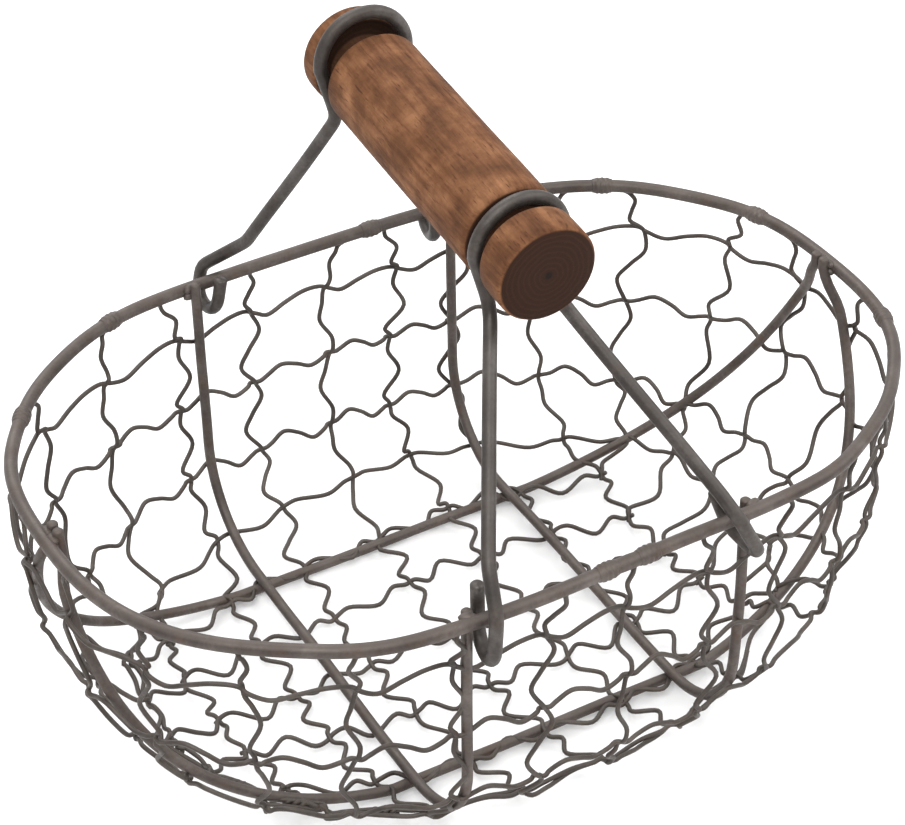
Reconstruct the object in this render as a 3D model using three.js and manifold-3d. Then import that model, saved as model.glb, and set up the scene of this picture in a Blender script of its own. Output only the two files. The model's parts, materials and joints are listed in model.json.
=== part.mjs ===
// Egg collection basket: an oval wire bowl with wire netting, and a swaying handle made of
// two hooked wire bails that carry a turned wooden grip.
// Millimetres, +X along the rim's long axis, +Y across it, +Z up.
// The origin is on the resting plane, under the middle of the rim.
import * as THREE from 'three';
import Module from 'manifold-3d';

// Driving dimensions, all in millimetres unless the name says otherwise.
const WIRE_SIDES = 6;
const FIT_GAP = 0.3;
const RIM_HALF_LENGTH = 130;
const RIM_HALF_WIDTH = 90.3;
const RIM_POWER = 2.58;
const RIM_HEIGHT = 92.5;
const RIM_WIRE = 4.0;
const RIB_WIRE = 3.2;
const BAIL_WIRE = 4.0;
const NET_WIRE = 1.2;
const RIB_MIDDLE_X = -1.45;
const RIB_SPREAD = 44.15;
const RIB_SKEW = 1.9;
const RIB_FOOT_HALF = 84.5;
const RIB_FILLET = 31;
const RIB_PROUD = 3.0;
const LONG_FOOT_HALF = 49.8;
const LONG_BULGE_HALF = 128.5;
const LONG_POWER = 2.75;
const LONG_FLAT_HALF = 53;
const LONG_TUCK = 14;
const NET_COLUMN_PITCH = 27;
const NET_MIDDLE_X = 1.5;
const NET_SIDE_COLUMNS = 7;
const NET_END_COLUMNS = 6;
const NET_WALL_STEPS = [17, 43, 68, 87];
const NET_FLOOR_ROWS = 5;
const NET_FLOOR_FLAT = 0.74;
const NET_WAVE = 2.8;
const NET_REACH = 0.95;
const NET_END_HALF = 132.5;
const NET_END_POWER = 3.6;
const NET_SEAM_RISE = 9;
const RIM_STEPS = 56;
const TIE_STEPS = [2, 6, 12, 19, 23, 41, 42, 53];
const TIE_LENGTH = 5;
const GRIP_NEAR = new THREE.Vector3(-3.3, -53.5, 165.3);
const GRIP_FAR = new THREE.Vector3(0, 62.5, 175.2);
const GRIP_RADIUS = 14.2;
const NECK_RADIUS = 8.9;
const COLLAR_NEAR = 11.8;
const COLLAR_FAR = 8.0;
const GROOVE_WIDTH = 7.8;
const LOOP_RADIUS = 13.7;
const LOOP_MOUTH_HALF = 9.2;
const LOOP_MOUTH_DROP = 17;
const HOOK_OUT = RIM_HALF_WIDTH + 4.9;
const HOOK_IN = RIM_HALF_WIDTH - 7.1;
const NEAR_HOOK_LOW = RIM_HEIGHT - 12.2;
const NEAR_HOOK_TIP = RIM_HEIGHT + 7;
const FAR_HOOK_LOW = RIM_HEIGHT - 8.7;
const FAR_HOOK_TIP = RIM_HEIGHT + 3;
const HOOK_BEND = 5.0;
const SHOULDER_BEND = 8;
const MOUTH_BEND = 7;
const NEAR_LOOP = new THREE.Vector3(-2.9, -38.1, 166.6);
const FAR_LOOP = new THREE.Vector3(-1.3, 50.3, 179.0);

const wasm = await Module();
wasm.setup();

// A six-sided wire with its flats at the wire's radius.
const wireReach = (diameter, sides = WIRE_SIDES) => diameter / 2 / Math.cos(Math.PI / sides);
const v3 = (x, y, z) => new THREE.Vector3(x, y, z);

// Sweeps a regular section along a run of points. The frame is carried from the point
// `anchor`, where a flat of the section faces along `up`.
function sweepMesh(points, reach, sides, up, anchor, closed) {
  const count = points.length;
  const tangents = points.map((point, i) => {
    const before = closed ? points[(i + count - 1) % count] : points[Math.max(i - 1, 0)];
    const after = closed ? points[(i + 1) % count] : points[Math.min(i + 1, count - 1)];
    const inward = point.clone().sub(before);
    const outward = after.clone().sub(point);
    const sum = v3(0, 0, 0);
    if (inward.length() > 1e-9) sum.add(inward.normalize());
    if (outward.length() > 1e-9) sum.add(outward.normalize());
    return sum.normalize();
  });
  const normals = new Array(count);
  const square = (vector, tangent) => {
    return vector.clone().addScaledVector(tangent, -vector.dot(tangent)).normalize();
  };
  normals[anchor] = square(up, tangents[anchor]);
  for (let i = anchor + 1; i < count; i += 1) normals[i] = square(normals[i - 1], tangents[i]);
  for (let i = anchor - 1; i >= 0; i -= 1) normals[i] = square(normals[i + 1], tangents[i]);
  const positions = [];
  for (let i = 0; i < count; i += 1) {
    const side = tangents[i].clone().cross(normals[i]);
    for (let k = 0; k < sides; k += 1) {
      const angle = ((k + 0.5) * 2 * Math.PI) / sides;
      const corner = points[i].clone();
      corner.addScaledVector(normals[i], reach * Math.cos(angle));
      corner.addScaledVector(side, reach * Math.sin(angle));
      positions.push(corner.x, corner.y, corner.z);
    }
  }
  const faces = [];
  const last = closed ? count : count - 1;
  for (let i = 0; i < last; i += 1) {
    const here = i * sides;
    const next = ((i + 1) % count) * sides;
    for (let k = 0; k < sides; k += 1) {
      const turn = (k + 1) % sides;
      faces.push(here + k, here + turn, next + turn);
      faces.push(here + k, next + turn, next + k);
    }
  }
  if (!closed) {
    const end = (count - 1) * sides;
    for (let k = 1; k < sides - 1; k += 1) {
      faces.push(0, k + 1, k);
      faces.push(end, end + k, end + k + 1);
    }
  }
  return { positions, faces };
}

function toGeometry({ positions, faces }) {
  const geometry = new THREE.BufferGeometry();
  geometry.setAttribute('position', new THREE.Float32BufferAttribute(positions, 3));
  geometry.setIndex(faces);
  geometry.computeVertexNormals();
  return geometry;
}

function wireGeometry(points, diameter, up, anchor = 0, closed = false) {
  return toGeometry(sweepMesh(points, wireReach(diameter), WIRE_SIDES, up, anchor, closed));
}

// Rounds the inner corners of a bent wire: each entry is a point and its bend radius.
function bentWire(corners, stepAngle = Math.PI / 8) {
  const points = [corners[0].at.clone()];
  for (let i = 1; i < corners.length - 1; i += 1) {
    const { at, bend } = corners[i];
    const back = corners[i - 1].at.clone().sub(at);
    const forth = corners[i + 1].at.clone().sub(at);
    const reach = Math.min(back.length(), forth.length()) * 0.49;
    back.normalize();
    forth.normalize();
    const open = Math.acos(THREE.MathUtils.clamp(back.dot(forth), -1, 1));
    const turn = Math.PI - open;
    if (!bend || turn < 0.02) {
      points.push(at.clone());
      continue;
    }
    const setback = Math.min(bend / Math.tan(open / 2), reach);
    const radius = setback * Math.tan(open / 2);
    const inward = back.clone().add(forth).normalize();
    const centre = at.clone().addScaledVector(inward, radius / Math.sin(open / 2));
    const from = at.clone().addScaledVector(back, setback).sub(centre);
    const to = at.clone().addScaledVector(forth, setback).sub(centre);
    const axis = from.clone().cross(to).normalize();
    const steps = Math.max(1, Math.round(turn / stepAngle));
    for (let k = 0; k <= steps; k += 1) {
      points.push(from.clone().applyAxisAngle(axis, (turn * k) / steps).add(centre));
    }
  }
  points.push(corners[corners.length - 1].at.clone());
  return points;
}

// Half-width of an oval of the given power at a place along its length.
function ovalSide(x, half, side, power) {
  return side * (1 - Math.min(Math.abs(x / half), 1) ** power) ** (1 / power);
}

function ovalPoint(angle, half, side, power) {
  const squared = (value) => Math.sign(value) * Math.abs(value) ** (2 / power);
  return [half * squared(Math.cos(angle)), side * squared(Math.sin(angle))];
}

// Points spread evenly by length along an oval, between two angles.
function ovalRun(half, side, power, from, to, count) {
  const fine = [];
  const samples = 720;
  for (let i = 0; i <= samples; i += 1) {
    fine.push(ovalPoint(from + ((to - from) * i) / samples, half, side, power));
  }
  const lengths = [0];
  for (let i = 1; i <= samples; i += 1) {
    lengths.push(lengths[i - 1] + Math.hypot(fine[i][0] - fine[i - 1][0], fine[i][1] - fine[i - 1][1]));
  }
  const out = [];
  let at = 0;
  for (let i = 0; i <= count; i += 1) {
    const goal = (lengths[samples] * i) / count;
    while (at < samples - 1 && lengths[at + 1] < goal) at += 1;
    const part = (goal - lengths[at]) / (lengths[at + 1] - lengths[at]);
    out.push([0, 1].map((k) => fine[at][k] + (fine[at + 1][k] - fine[at][k]) * part));
  }
  return out;
}

const RIB_INSET = wireReach(RIM_WIRE) + wireReach(RIB_WIRE) + FIT_GAP;
const CROSS_FOOT_Z = RIB_WIRE * 1.5 + FIT_GAP;
const LONG_FOOT_Z = RIB_WIRE / 2;

function rimPoints() {
  const run = ovalRun(RIM_HALF_LENGTH, RIM_HALF_WIDTH, RIM_POWER, 0, 2 * Math.PI, RIM_STEPS);
  return run.slice(0, RIM_STEPS).map(([x, y]) => v3(x, y, RIM_HEIGHT));
}

function rimGeometry() {
  return wireGeometry(rimPoints(), RIM_WIRE, v3(0, 0, 1), 0, true);
}

// The half profile of a cross rib, from its top end down to the middle of the floor.
function crossHalfProfile(x) {
  const top = ovalSide(x, RIM_HALF_LENGTH, RIM_HALF_WIDTH, RIM_POWER) - RIB_INSET;
  const slope = (top - RIB_FOOT_HALF) / (RIM_HEIGHT - CROSS_FOOT_Z);
  return [
    { at: v3(0, top + slope * RIB_PROUD, RIM_HEIGHT + RIB_PROUD), bend: 0 },
    { at: v3(0, RIB_FOOT_HALF, CROSS_FOOT_Z), bend: RIB_FILLET },
    { at: v3(0, 0, CROSS_FOOT_Z), bend: 0 },
  ];
}

function crossRibGeometry(x) {
  const half = bentWire(crossHalfProfile(x), Math.PI / 14);
  const other = half.slice(0, -1).reverse().map((p) => v3(p.x, -p.y, p.z));
  const points = half.concat(other);
  points.forEach((p) => {
    p.x = x + (RIB_SKEW * p.y) / RIM_HALF_WIDTH;
  });
  return wireGeometry(points, RIB_WIRE, v3(0, 0, 1), half.length - 1);
}

// A long rib lies in a leaning plane, from one end of the rim to the other. It runs flat
// between the cross ribs, sweeps up in an oval to the rim's ends, and tucks in behind the rim.
const LONG_HALF_LENGTH = RIM_HALF_LENGTH - RIB_INSET;
const LONG_TOP_Y = wireReach(RIB_WIRE) + FIT_GAP;
const LONG_FLAT_DROP = ovalSide(LONG_FLAT_HALF, LONG_BULGE_HALF, 1, LONG_POWER);

function longRibY(x) {
  const drop = Math.min(ovalSide(x, LONG_BULGE_HALF, 1, LONG_POWER) / LONG_FLAT_DROP, 1);
  return LONG_TOP_Y + (LONG_FOOT_HALF - LONG_TOP_Y) * drop;
}

function longRibGeometry(side) {
  const depth = RIM_HEIGHT - LONG_FOOT_Z;
  const curve = ovalRun(LONG_BULGE_HALF, depth, LONG_POWER, 0, Math.PI, 36);
  const points = curve.map(([x, down]) => {
    const drop = Math.min(down / depth / LONG_FLAT_DROP, 1);
    const tuck = THREE.MathUtils.smoothstep(LONG_TUCK - depth * drop, 0, LONG_TUCK - RIM_WIRE / 2);
    const half = THREE.MathUtils.lerp(LONG_BULGE_HALF, LONG_HALF_LENGTH, tuck);
    const y = LONG_TOP_Y + (LONG_FOOT_HALF - LONG_TOP_Y) * drop;
    return v3((x * half) / LONG_BULGE_HALF, side * y, RIM_HEIGHT - depth * drop);
  });
  const raise = (p) => v3(p.x, side * LONG_TOP_Y, RIM_HEIGHT + RIB_PROUD);
  points.unshift(raise(points[0]));
  points.push(raise(points[points.length - 1]));
  return wireGeometry(points, RIB_WIRE, v3(0, 0, 1), (points.length - 1) / 2);
}

// Netting rows on the walls: places measured down the outside of a cross rib.
function netWallRows() {
  const profile = bentWire(crossHalfProfile(RIB_SPREAD), Math.PI / 60);
  const stand = wireReach(RIB_WIRE) + NET_REACH + FIT_GAP * 2;
  const rows = [];
  let walked = -RIB_PROUD;
  let step = 0;
  for (let i = 1; i < profile.length && step < NET_WALL_STEPS.length; i += 1) {
    const run = profile[i].clone().sub(profile[i - 1]);
    const length = run.length();
    while (step < NET_WALL_STEPS.length && walked + length >= NET_WALL_STEPS[step]) {
      const at = profile[i - 1].clone().addScaledVector(run, (NET_WALL_STEPS[step] - walked) / length);
      const facing = v3(0, -run.z, run.y).normalize();
      at.addScaledVector(facing, stand);
      rows.push({ y: at.y, z: at.z, facing });
      step += 1;
    }
    walked += length;
  }
  return rows.map(({ y, z, facing }, i) => {
    const rise = i === rows.length - 1 ? NET_SEAM_RISE : 0;
    const down = (RIM_HEIGHT - z - rise) / RIM_HEIGHT;
    const half = NET_END_HALF * (1 - down ** NET_END_POWER) ** (1 / NET_END_POWER);
    const side = y / (1 - (RIB_SPREAD / half) ** RIM_POWER) ** (1 / RIM_POWER);
    return { half, side, z, rise, facing };
  });
}

// The lowest row, the seam, climbs towards the ends of the bowl.
const rowHeight = ({ half, z, rise }, x) => z + rise * Math.abs(x / half) ** 4;

const COLUMN_XS = Array.from({ length: NET_SIDE_COLUMNS }, (_, i) => {
  return NET_MIDDLE_X + (i - (NET_SIDE_COLUMNS - 1) / 2) * NET_COLUMN_PITCH;
});

// The crossings of one wall row, going round from the far left corner by the far side.
function rowCrossings(row) {
  const { half, side } = row;
  const yAt = (x) => ovalSide(x, half, side, RIM_POWER);
  const far = COLUMN_XS.map((x) => v3(x, yAt(x), rowHeight(row, x)));
  const near = COLUMN_XS.map((x) => v3(x, -yAt(x), rowHeight(row, x))).reverse();
  const endRun = (x) => {
    const angle = Math.atan2((yAt(x) / side) ** (RIM_POWER / 2), (Math.abs(x) / half) ** (RIM_POWER / 2));
    const run = ovalRun(half, side, RIM_POWER, angle, -angle, NET_END_COLUMNS + 1);
    return run.slice(1, -1).map(([px, py]) => v3(px, py, rowHeight(row, px)));
  };
  const right = endRun(COLUMN_XS[COLUMN_XS.length - 1]);
  const left = endRun(-COLUMN_XS[0]).map((p) => v3(-p.x, -p.y, p.z));
  return [...far, ...right, ...near, ...left];
}

const WALL_ROWS = netWallRows();
const SEAM = WALL_ROWS[WALL_ROWS.length - 1];
const FLOOR_NET_Z = CROSS_FOOT_Z - RIB_WIRE / 2 - NET_REACH - FIT_GAP;

// How far out a floor place is, with 1 at the lowest wall row.
function seamReach(x, y) {
  const along = Math.abs(x / SEAM.half) ** RIM_POWER;
  const across = Math.abs(y / SEAM.side) ** RIM_POWER;
  return (along + across) ** (1 / RIM_POWER);
}

// The floor netting is flat in the middle and curls up to the seam at its edge.
function floorPoint(x, y) {
  const rise = Math.max(0, (seamReach(x, y) - NET_FLOOR_FLAT) / (1 - NET_FLOOR_FLAT));
  return v3(x, y, FLOOR_NET_Z + (rowHeight(SEAM, x) - FLOOR_NET_Z) * rise * rise);
}

// A netting strand between two crossings, waved in the plane of the netting.
function netStrand(from, to, outward) {
  const along = to.clone().sub(from);
  const across = along.clone().cross(outward).normalize().multiplyScalar(NET_WAVE);
  return [
    from.clone(),
    from.clone().addScaledVector(along, 0.3).add(across),
    from.clone().addScaledVector(along, 0.7).sub(across),
    to.clone(),
  ];
}

// Keeps the part of a strand that starts at its first point and stays inside a region.
function clipStrand(points, inside) {
  const kept = [points[0]];
  for (let i = 1; i < points.length; i += 1) {
    if (inside(points[i])) {
      kept.push(points[i]);
      continue;
    }
    let good = 0;
    let bad = 1;
    for (let k = 0; k < 24; k += 1) {
      const middle = (good + bad) / 2;
      if (inside(points[i - 1].clone().lerp(points[i], middle))) {
        good = middle;
      } else {
        bad = middle;
      }
    }
    if (good > 0.02) kept.push(points[i - 1].clone().lerp(points[i], good));
    return kept;
  }
  return kept;
}

function wallOutward(p, facing) {
  const flat = v3(p.x / RIM_HALF_LENGTH ** 2, p.y / RIM_HALF_WIDTH ** 2, 0).normalize();
  return flat.multiplyScalar(facing.y).add(v3(0, 0, facing.z));
}
const ribX = (side) => RIB_MIDDLE_X + side * RIB_SPREAD;

// Every strand of the netting, with the names of the two panels its ends belong to.
function netStrands() {
  const strands = [];
  const rows = WALL_ROWS.map(rowCrossings);
  const ringCount = rows[0].length;
  const sideName = (p) => {
    if (p.x > ribX(1)) return 'right';
    return p.x < ribX(-1) ? 'left' : 'middle';
  };
  const wallName = (column) => {
    const p = rows[0][column];
    if (Math.abs(p.y) < RIM_HALF_WIDTH * 0.5) return `net_end_${sideName(p)}`;
    return `net_${p.y > 0 ? 'far' : 'near'}_${sideName(p)}`;
  };
  const add = (wire, from, to, outward, fromName, toName) => {
    strands.push({ wire, points: netStrand(from, to, outward), fromName, toName });
  };
  const topOf = (p) => v3(p.x, p.y, RIM_HEIGHT - RIM_WIRE / 2 - NET_WIRE - FIT_GAP);
  rows.forEach((row, r) => {
    const { facing } = WALL_ROWS[r];
    row.forEach((crossing, c) => {
      const next = (c + 1) % ringCount;
      const middle = crossing.clone().add(row[next]);
      const above = r > 0 ? rows[r - 1][c] : topOf(crossing);
      add(`row ${r}`, crossing, row[next], wallOutward(middle, facing), wallName(c), wallName(next));
      add(`column ${c}`, above, crossing, wallOutward(crossing, facing), wallName(c), wallName(c));
    });
  });
  const seamRow = rows[rows.length - 1];
  const steps = NET_FLOOR_ROWS + 1;
  const floor = COLUMN_XS.map((x, i) => {
    const half = Math.min((seamRow[i].y * (steps - 2)) / steps, longRibY(x) - NET_WAVE * 2.3);
    const place = (j) => half * (1 - (2 * j) / (NET_FLOOR_ROWS - 1));
    return Array.from({ length: NET_FLOOR_ROWS }, (_, j) => floorPoint(x, place(j)));
  });
  const down = v3(0, 0, -1);
  const floorName = (p) => `net_floor_${sideName(p)}`;
  const addFloor = (wire, from, to) => add(wire, from, to, down, floorName(from), floorName(to));
  floor.forEach((column, i) => {
    column.forEach((crossing, j) => {
      if (j > 0) addFloor(`column ${i}`, column[j - 1], crossing);
      if (i > 0) addFloor(`floor row ${j}`, floor[i - 1][j], crossing);
    });
    const nearIndex = NET_SIDE_COLUMNS + NET_END_COLUMNS + (NET_SIDE_COLUMNS - 1 - i);
    const last = column[column.length - 1];
    add(`column ${i}`, seamRow[i], column[0], down, wallName(i), floorName(column[0]));
    add(`column ${i}`, last, seamRow[nearIndex], down, floorName(last), wallName(nearIndex));
    strands.filter((s) => s.wire === `column ${nearIndex}`).forEach((s) => {
      s.wire = `column ${i}`;
      s.points.reverse();
    });
  });
  for (let m = 0; m < NET_END_COLUMNS; m += 1) {
    const place = Math.min(NET_FLOOR_ROWS - 1, Math.floor((m * NET_FLOOR_ROWS) / (NET_END_COLUMNS - 1)));
    const ends = [
      [NET_SIDE_COLUMNS + m, floor[NET_SIDE_COLUMNS - 1][place]],
      [2 * NET_SIDE_COLUMNS + NET_END_COLUMNS + m, floor[0][NET_FLOOR_ROWS - 1 - place]],
    ];
    ends.forEach(([index, inner]) => {
      add(`column ${index}`, seamRow[index], inner, down, wallName(index), floorName(inner));
    });
  }
  return strands;
}

// Where a strand passes from one panel to the next, each panel stops short of the border.
function strandPart(strand, name) {
  const forward = strand.fromName === name;
  const part = cutStrand(strand, name, forward);
  return forward ? part : part.slice().reverse();
}

function cutStrand(strand, name, forward) {
  const points = forward ? strand.points : strand.points.slice().reverse();
  const other = forward ? strand.toName : strand.fromName;
  if (other === name) return points;
  const start = points[0];
  const end = points[points.length - 1];
  const floorToFloor = name.startsWith('net_floor') && other.startsWith('net_floor');
  const wallToWall = !name.startsWith('net_floor') && !other.startsWith('net_floor');
  const border = start.x + end.x > 0 ? ribX(1) : ribX(-1);
  if ((floorToFloor || wallToWall) && (start.x - border) * (end.x - border) < 0) {
    const hand = Math.sign(start.x - border);
    return clipStrand(points, (p) => (p.x - border) * hand > FIT_GAP + NET_WIRE / 2);
  }
  const ribReach = wireReach(RIB_WIRE) + NET_REACH + FIT_GAP;
  if (!wallToWall && Math.abs(start.x - end.x) < NET_COLUMN_PITCH / 4) {
    const hand = name.startsWith('net_floor') ? -1 : 1;
    return clipStrand(points, (p) => hand * (Math.abs(p.y) - longRibY(p.x)) > ribReach);
  }
  const length = start.distanceTo(end);
  return clipStrand(points, (p) => {
    const along = p.clone().sub(start).dot(end.clone().sub(start)) / length;
    return along < length / 2 - FIT_GAP - NET_WIRE / 2;
  });
}

function joinBodies(meshes) {
  let whole = null;
  meshes.forEach(({ positions, faces }) => {
    const mesh = new wasm.Mesh({
      numProp: 3,
      vertProperties: new Float32Array(positions),
      triVerts: new Uint32Array(faces),
    });
    const body = new wasm.Manifold(mesh);
    whole = whole ? whole.add(body) : body;
  });
  const parts = whole.decompose();
  let best = parts[0];
  parts.forEach((part) => {
    if (part.volume() > best.volume()) best = part;
  });
  const mesh = best.simplify(0.1).getMesh();
  return toGeometry({ positions: Array.from(mesh.vertProperties), faces: Array.from(mesh.triVerts) });
}

// Strand parts of one wire that meet end to end are joined into longer runs.
function joinRuns(parts) {
  const runs = parts.map((points) => points.slice());
  let joined = true;
  while (joined) {
    joined = false;
    for (let i = 0; i < runs.length && !joined; i += 1) {
      for (let j = 0; j < runs.length && !joined; j += 1) {
        if (i === j || runs[i][runs[i].length - 1].distanceTo(runs[j][0]) > 1e-6) continue;
        runs[i] = runs[i].concat(runs[j].slice(1));
        runs.splice(j, 1);
        joined = true;
      }
    }
  }
  return runs;
}

function netPanels() {
  const strands = netStrands();
  const names = [...new Set(strands.flatMap((s) => [s.fromName, s.toName]))].sort();
  return names.map((name) => {
    const own = strands.filter((s) => s.fromName === name || s.toName === name);
    const wires = [...new Set(own.map((s) => s.wire))];
    // Rows and columns turn their sections different ways, so no two faces lie in one plane.
    const meshes = wires.flatMap((wire) => {
      const up = wire.startsWith('column') ? v3(0.9, 0.35, -0.5) : v3(0.15, 0.1, 1);
      const parts = own.filter((s) => s.wire === wire).map((s) => strandPart(s, name));
      const runs = joinRuns(parts.filter((points) => points.length > 1));
      return runs.map((points) => sweepMesh(points, NET_REACH, 3, up, 0, false));
    });
    return [name, joinBodies(meshes)];
  });
}

// A tie: the netting wire's end wound round one straight step of the rim.
function tieGeometry(step) {
  const inner = (wireReach(RIM_WIRE) + FIT_GAP / 2) / Math.cos(Math.PI / 12);
  const outer = inner + NET_WIRE;
  const half = TIE_LENGTH / 2;
  const profile = [
    new THREE.Vector2(inner, -half),
    new THREE.Vector2(outer, -half + 0.6),
    new THREE.Vector2(outer, half - 0.6),
    new THREE.Vector2(inner, half),
    new THREE.Vector2(inner, -half),
  ];
  const geometry = new THREE.LatheGeometry(profile, 12);
  const rim = rimPoints();
  const from = rim[step];
  const to = rim[(step + 1) % RIM_STEPS];
  const along = to.clone().sub(from).normalize();
  const middle = from.clone().lerp(to, 0.5);
  geometry.applyQuaternion(new THREE.Quaternion().setFromUnitVectors(v3(0, 1, 0), along));
  geometry.translate(middle.x, middle.y, middle.z);
  return geometry;
}

// A hook: the leg of a bail passes outside the rim, turns under it and ends inside.
function hookCorners(side, low, tip, { lowX, innerX, innerRise = 0, tipX, outerX, outerZ }) {
  return [
    { at: v3(tipX, side * HOOK_IN, tip), bend: 0 },
    { at: v3(innerX, side * HOOK_IN, low + innerRise), bend: HOOK_BEND },
    { at: v3(lowX, side * HOOK_OUT, low), bend: HOOK_BEND },
    { at: v3(outerX, side * HOOK_OUT, outerZ), bend: HOOK_BEND },
  ];
}

// One bail: hook, leg, loop over the grip's groove, leg, hook.
function bailGeometry({ side, low, tip, loop, shoulderLeft, shoulderRight, hookLeft, hookRight }) {
  const mouth = (hand) => loop.clone().add(v3(hand * LOOP_MOUTH_HALF, 0, -LOOP_MOUTH_DROP));
  const arc = [];
  const arcSteps = 10;
  for (let i = 0; i <= arcSteps; i += 1) {
    const angle = Math.PI * (1 - i / arcSteps);
    const reach = v3(LOOP_RADIUS * Math.cos(angle), 0, LOOP_RADIUS * Math.sin(angle));
    arc.push({ at: loop.clone().add(reach), bend: 0 });
  }
  const corners = [
    ...hookCorners(side, low, tip, hookLeft),
    { at: shoulderLeft, bend: SHOULDER_BEND },
    { at: mouth(-1), bend: MOUTH_BEND },
    ...arc,
    { at: mouth(1), bend: MOUTH_BEND },
    { at: shoulderRight, bend: SHOULDER_BEND },
    ...hookCorners(side, low, tip, hookRight).reverse(),
  ];
  const points = bentWire(corners, Math.PI / 6);
  return wireGeometry(points, BAIL_WIRE, v3(1, 0, 0), 0);
}

function nearBailGeometry() {
  return bailGeometry({
    side: -1,
    low: NEAR_HOOK_LOW,
    tip: NEAR_HOOK_TIP,
    loop: NEAR_LOOP,
    shoulderLeft: v3(-42.0, -87.5, 108.5),
    shoulderRight: v3(29.5, -89.0, 103.5),
    hookLeft: { tipX: -42.9, innerX: -42.9, lowX: -45.2, outerX: -44.2, outerZ: 97 },
    hookRight: { tipX: 31.5, innerX: 36.5, innerRise: 5.7, lowX: 40.5, outerX: 32, outerZ: 97.5 },
  });
}

function farBailGeometry() {
  return bailGeometry({
    side: 1,
    low: FAR_HOOK_LOW,
    tip: FAR_HOOK_TIP,
    loop: FAR_LOOP,
    shoulderLeft: v3(-27.5, 81.5, 107.5),
    shoulderRight: v3(31.0, 81.5, 107.5),
    hookLeft: { tipX: -36, innerX: -38.5, lowX: -39.2, outerX: -36.8, outerZ: 94.5 },
    hookRight: { tipX: 38.5, innerX: 38.5, lowX: 40.5, outerX: 41, outerZ: 94.5 },
  });
}

// The grip is turned with a groove near each end for the bails' loops.
function gripGeometry() {
  const along = GRIP_FAR.clone().sub(GRIP_NEAR);
  const length = along.length();
  const edge = 1.0;
  const chamfer = 0.5;
  const taper = 0.3;
  const groove = (start) => [
    [GRIP_RADIUS, start - chamfer],
    [GRIP_RADIUS - chamfer, start],
    [NECK_RADIUS, start + taper],
    [NECK_RADIUS, start + GROOVE_WIDTH - taper],
    [GRIP_RADIUS - chamfer, start + GROOVE_WIDTH],
    [GRIP_RADIUS, start + GROOVE_WIDTH + chamfer],
  ];
  const profile = [
    [0, 0],
    [GRIP_RADIUS - edge, 0],
    [GRIP_RADIUS, edge],
    ...groove(COLLAR_NEAR),
    ...groove(length - COLLAR_FAR - GROOVE_WIDTH),
    [GRIP_RADIUS, length - edge],
    [GRIP_RADIUS - edge, length],
    [0, length],
  ].map(([radius, station]) => new THREE.Vector2(radius, station));
  const geometry = new THREE.LatheGeometry(profile, 20);
  geometry.applyQuaternion(new THREE.Quaternion().setFromUnitVectors(v3(0, 1, 0), along.normalize()));
  geometry.translate(GRIP_NEAR.x, GRIP_NEAR.y, GRIP_NEAR.z);
  return geometry;
}

const RIM_STEEL = { color: 0x6b625c, roughness: 0.55, metalness: 0.8 };
const RIB_STEEL = { color: 0x5c5450, roughness: 0.55, metalness: 0.8 };
const NET_STEEL = { color: 0x4c4641, roughness: 0.5, metalness: 0.8 };
const BAIL_STEEL = { color: 0x6b6662, roughness: 0.45, metalness: 0.85 };
const GRIP_WOOD = { color: 0x7a4f32, roughness: 0.7, metalness: 0.0 };

const basket = new THREE.Group();
basket.name = 'egg_collection_basket';

function addPiece(name, geometry, finish) {
  const mesh = new THREE.Mesh(geometry, new THREE.MeshStandardMaterial(finish));
  mesh.name = name;
  basket.add(mesh);
}

addPiece('rim', rimGeometry(), RIM_STEEL);
addPiece('cross_rib_left', crossRibGeometry(ribX(-1)), RIB_STEEL);
addPiece('cross_rib_right', crossRibGeometry(ribX(1)), RIB_STEEL);
addPiece('long_rib_far', longRibGeometry(1), RIB_STEEL);
addPiece('long_rib_near', longRibGeometry(-1), RIB_STEEL);
netPanels().forEach(([name, geometry]) => addPiece(name, geometry, NET_STEEL));
TIE_STEPS.forEach((step, i) => addPiece(`net_tie_${i + 1}`, tieGeometry(step), NET_STEEL));
addPiece('bail_near', nearBailGeometry(), BAIL_STEEL);
addPiece('bail_far', farBailGeometry(), BAIL_STEEL);
addPiece('grip', gripGeometry(), GRIP_WOOD);

export default basket;
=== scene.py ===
# Egg collection basket: the finished look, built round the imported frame.
# Lengths are millimetres in the frame's own axes until a mesh is made, and metres after that.
import json
import math
import random

import bpy
import numpy as np
from mathutils import Matrix, Vector, noise


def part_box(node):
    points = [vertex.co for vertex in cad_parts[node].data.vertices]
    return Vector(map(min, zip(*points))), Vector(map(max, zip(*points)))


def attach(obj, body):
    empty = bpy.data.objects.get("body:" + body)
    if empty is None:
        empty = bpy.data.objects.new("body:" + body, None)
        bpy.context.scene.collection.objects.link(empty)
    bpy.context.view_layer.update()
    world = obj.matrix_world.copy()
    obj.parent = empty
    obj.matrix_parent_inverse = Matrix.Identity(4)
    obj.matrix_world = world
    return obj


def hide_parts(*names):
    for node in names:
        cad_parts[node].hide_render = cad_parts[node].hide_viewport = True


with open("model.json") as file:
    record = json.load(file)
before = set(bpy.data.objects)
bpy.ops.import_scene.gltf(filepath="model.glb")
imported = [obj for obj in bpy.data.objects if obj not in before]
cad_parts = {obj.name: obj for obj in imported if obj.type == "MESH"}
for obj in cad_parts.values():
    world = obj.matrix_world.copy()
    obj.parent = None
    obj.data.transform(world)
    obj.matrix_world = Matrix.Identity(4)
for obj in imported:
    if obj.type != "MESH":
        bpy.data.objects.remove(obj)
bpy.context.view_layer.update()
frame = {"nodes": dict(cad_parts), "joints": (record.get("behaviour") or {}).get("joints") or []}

MM = 0.001
UP = np.array([0.0, 0.0, 1.0])


def box_mm(node):
    low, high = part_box(node)
    return np.array(low) / MM, np.array(high) / MM


def joint_mm(name):
    found = [joint for joint in frame["joints"] if joint["name"] == name][0]
    return np.array(found["pos_m"]) / MM


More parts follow.
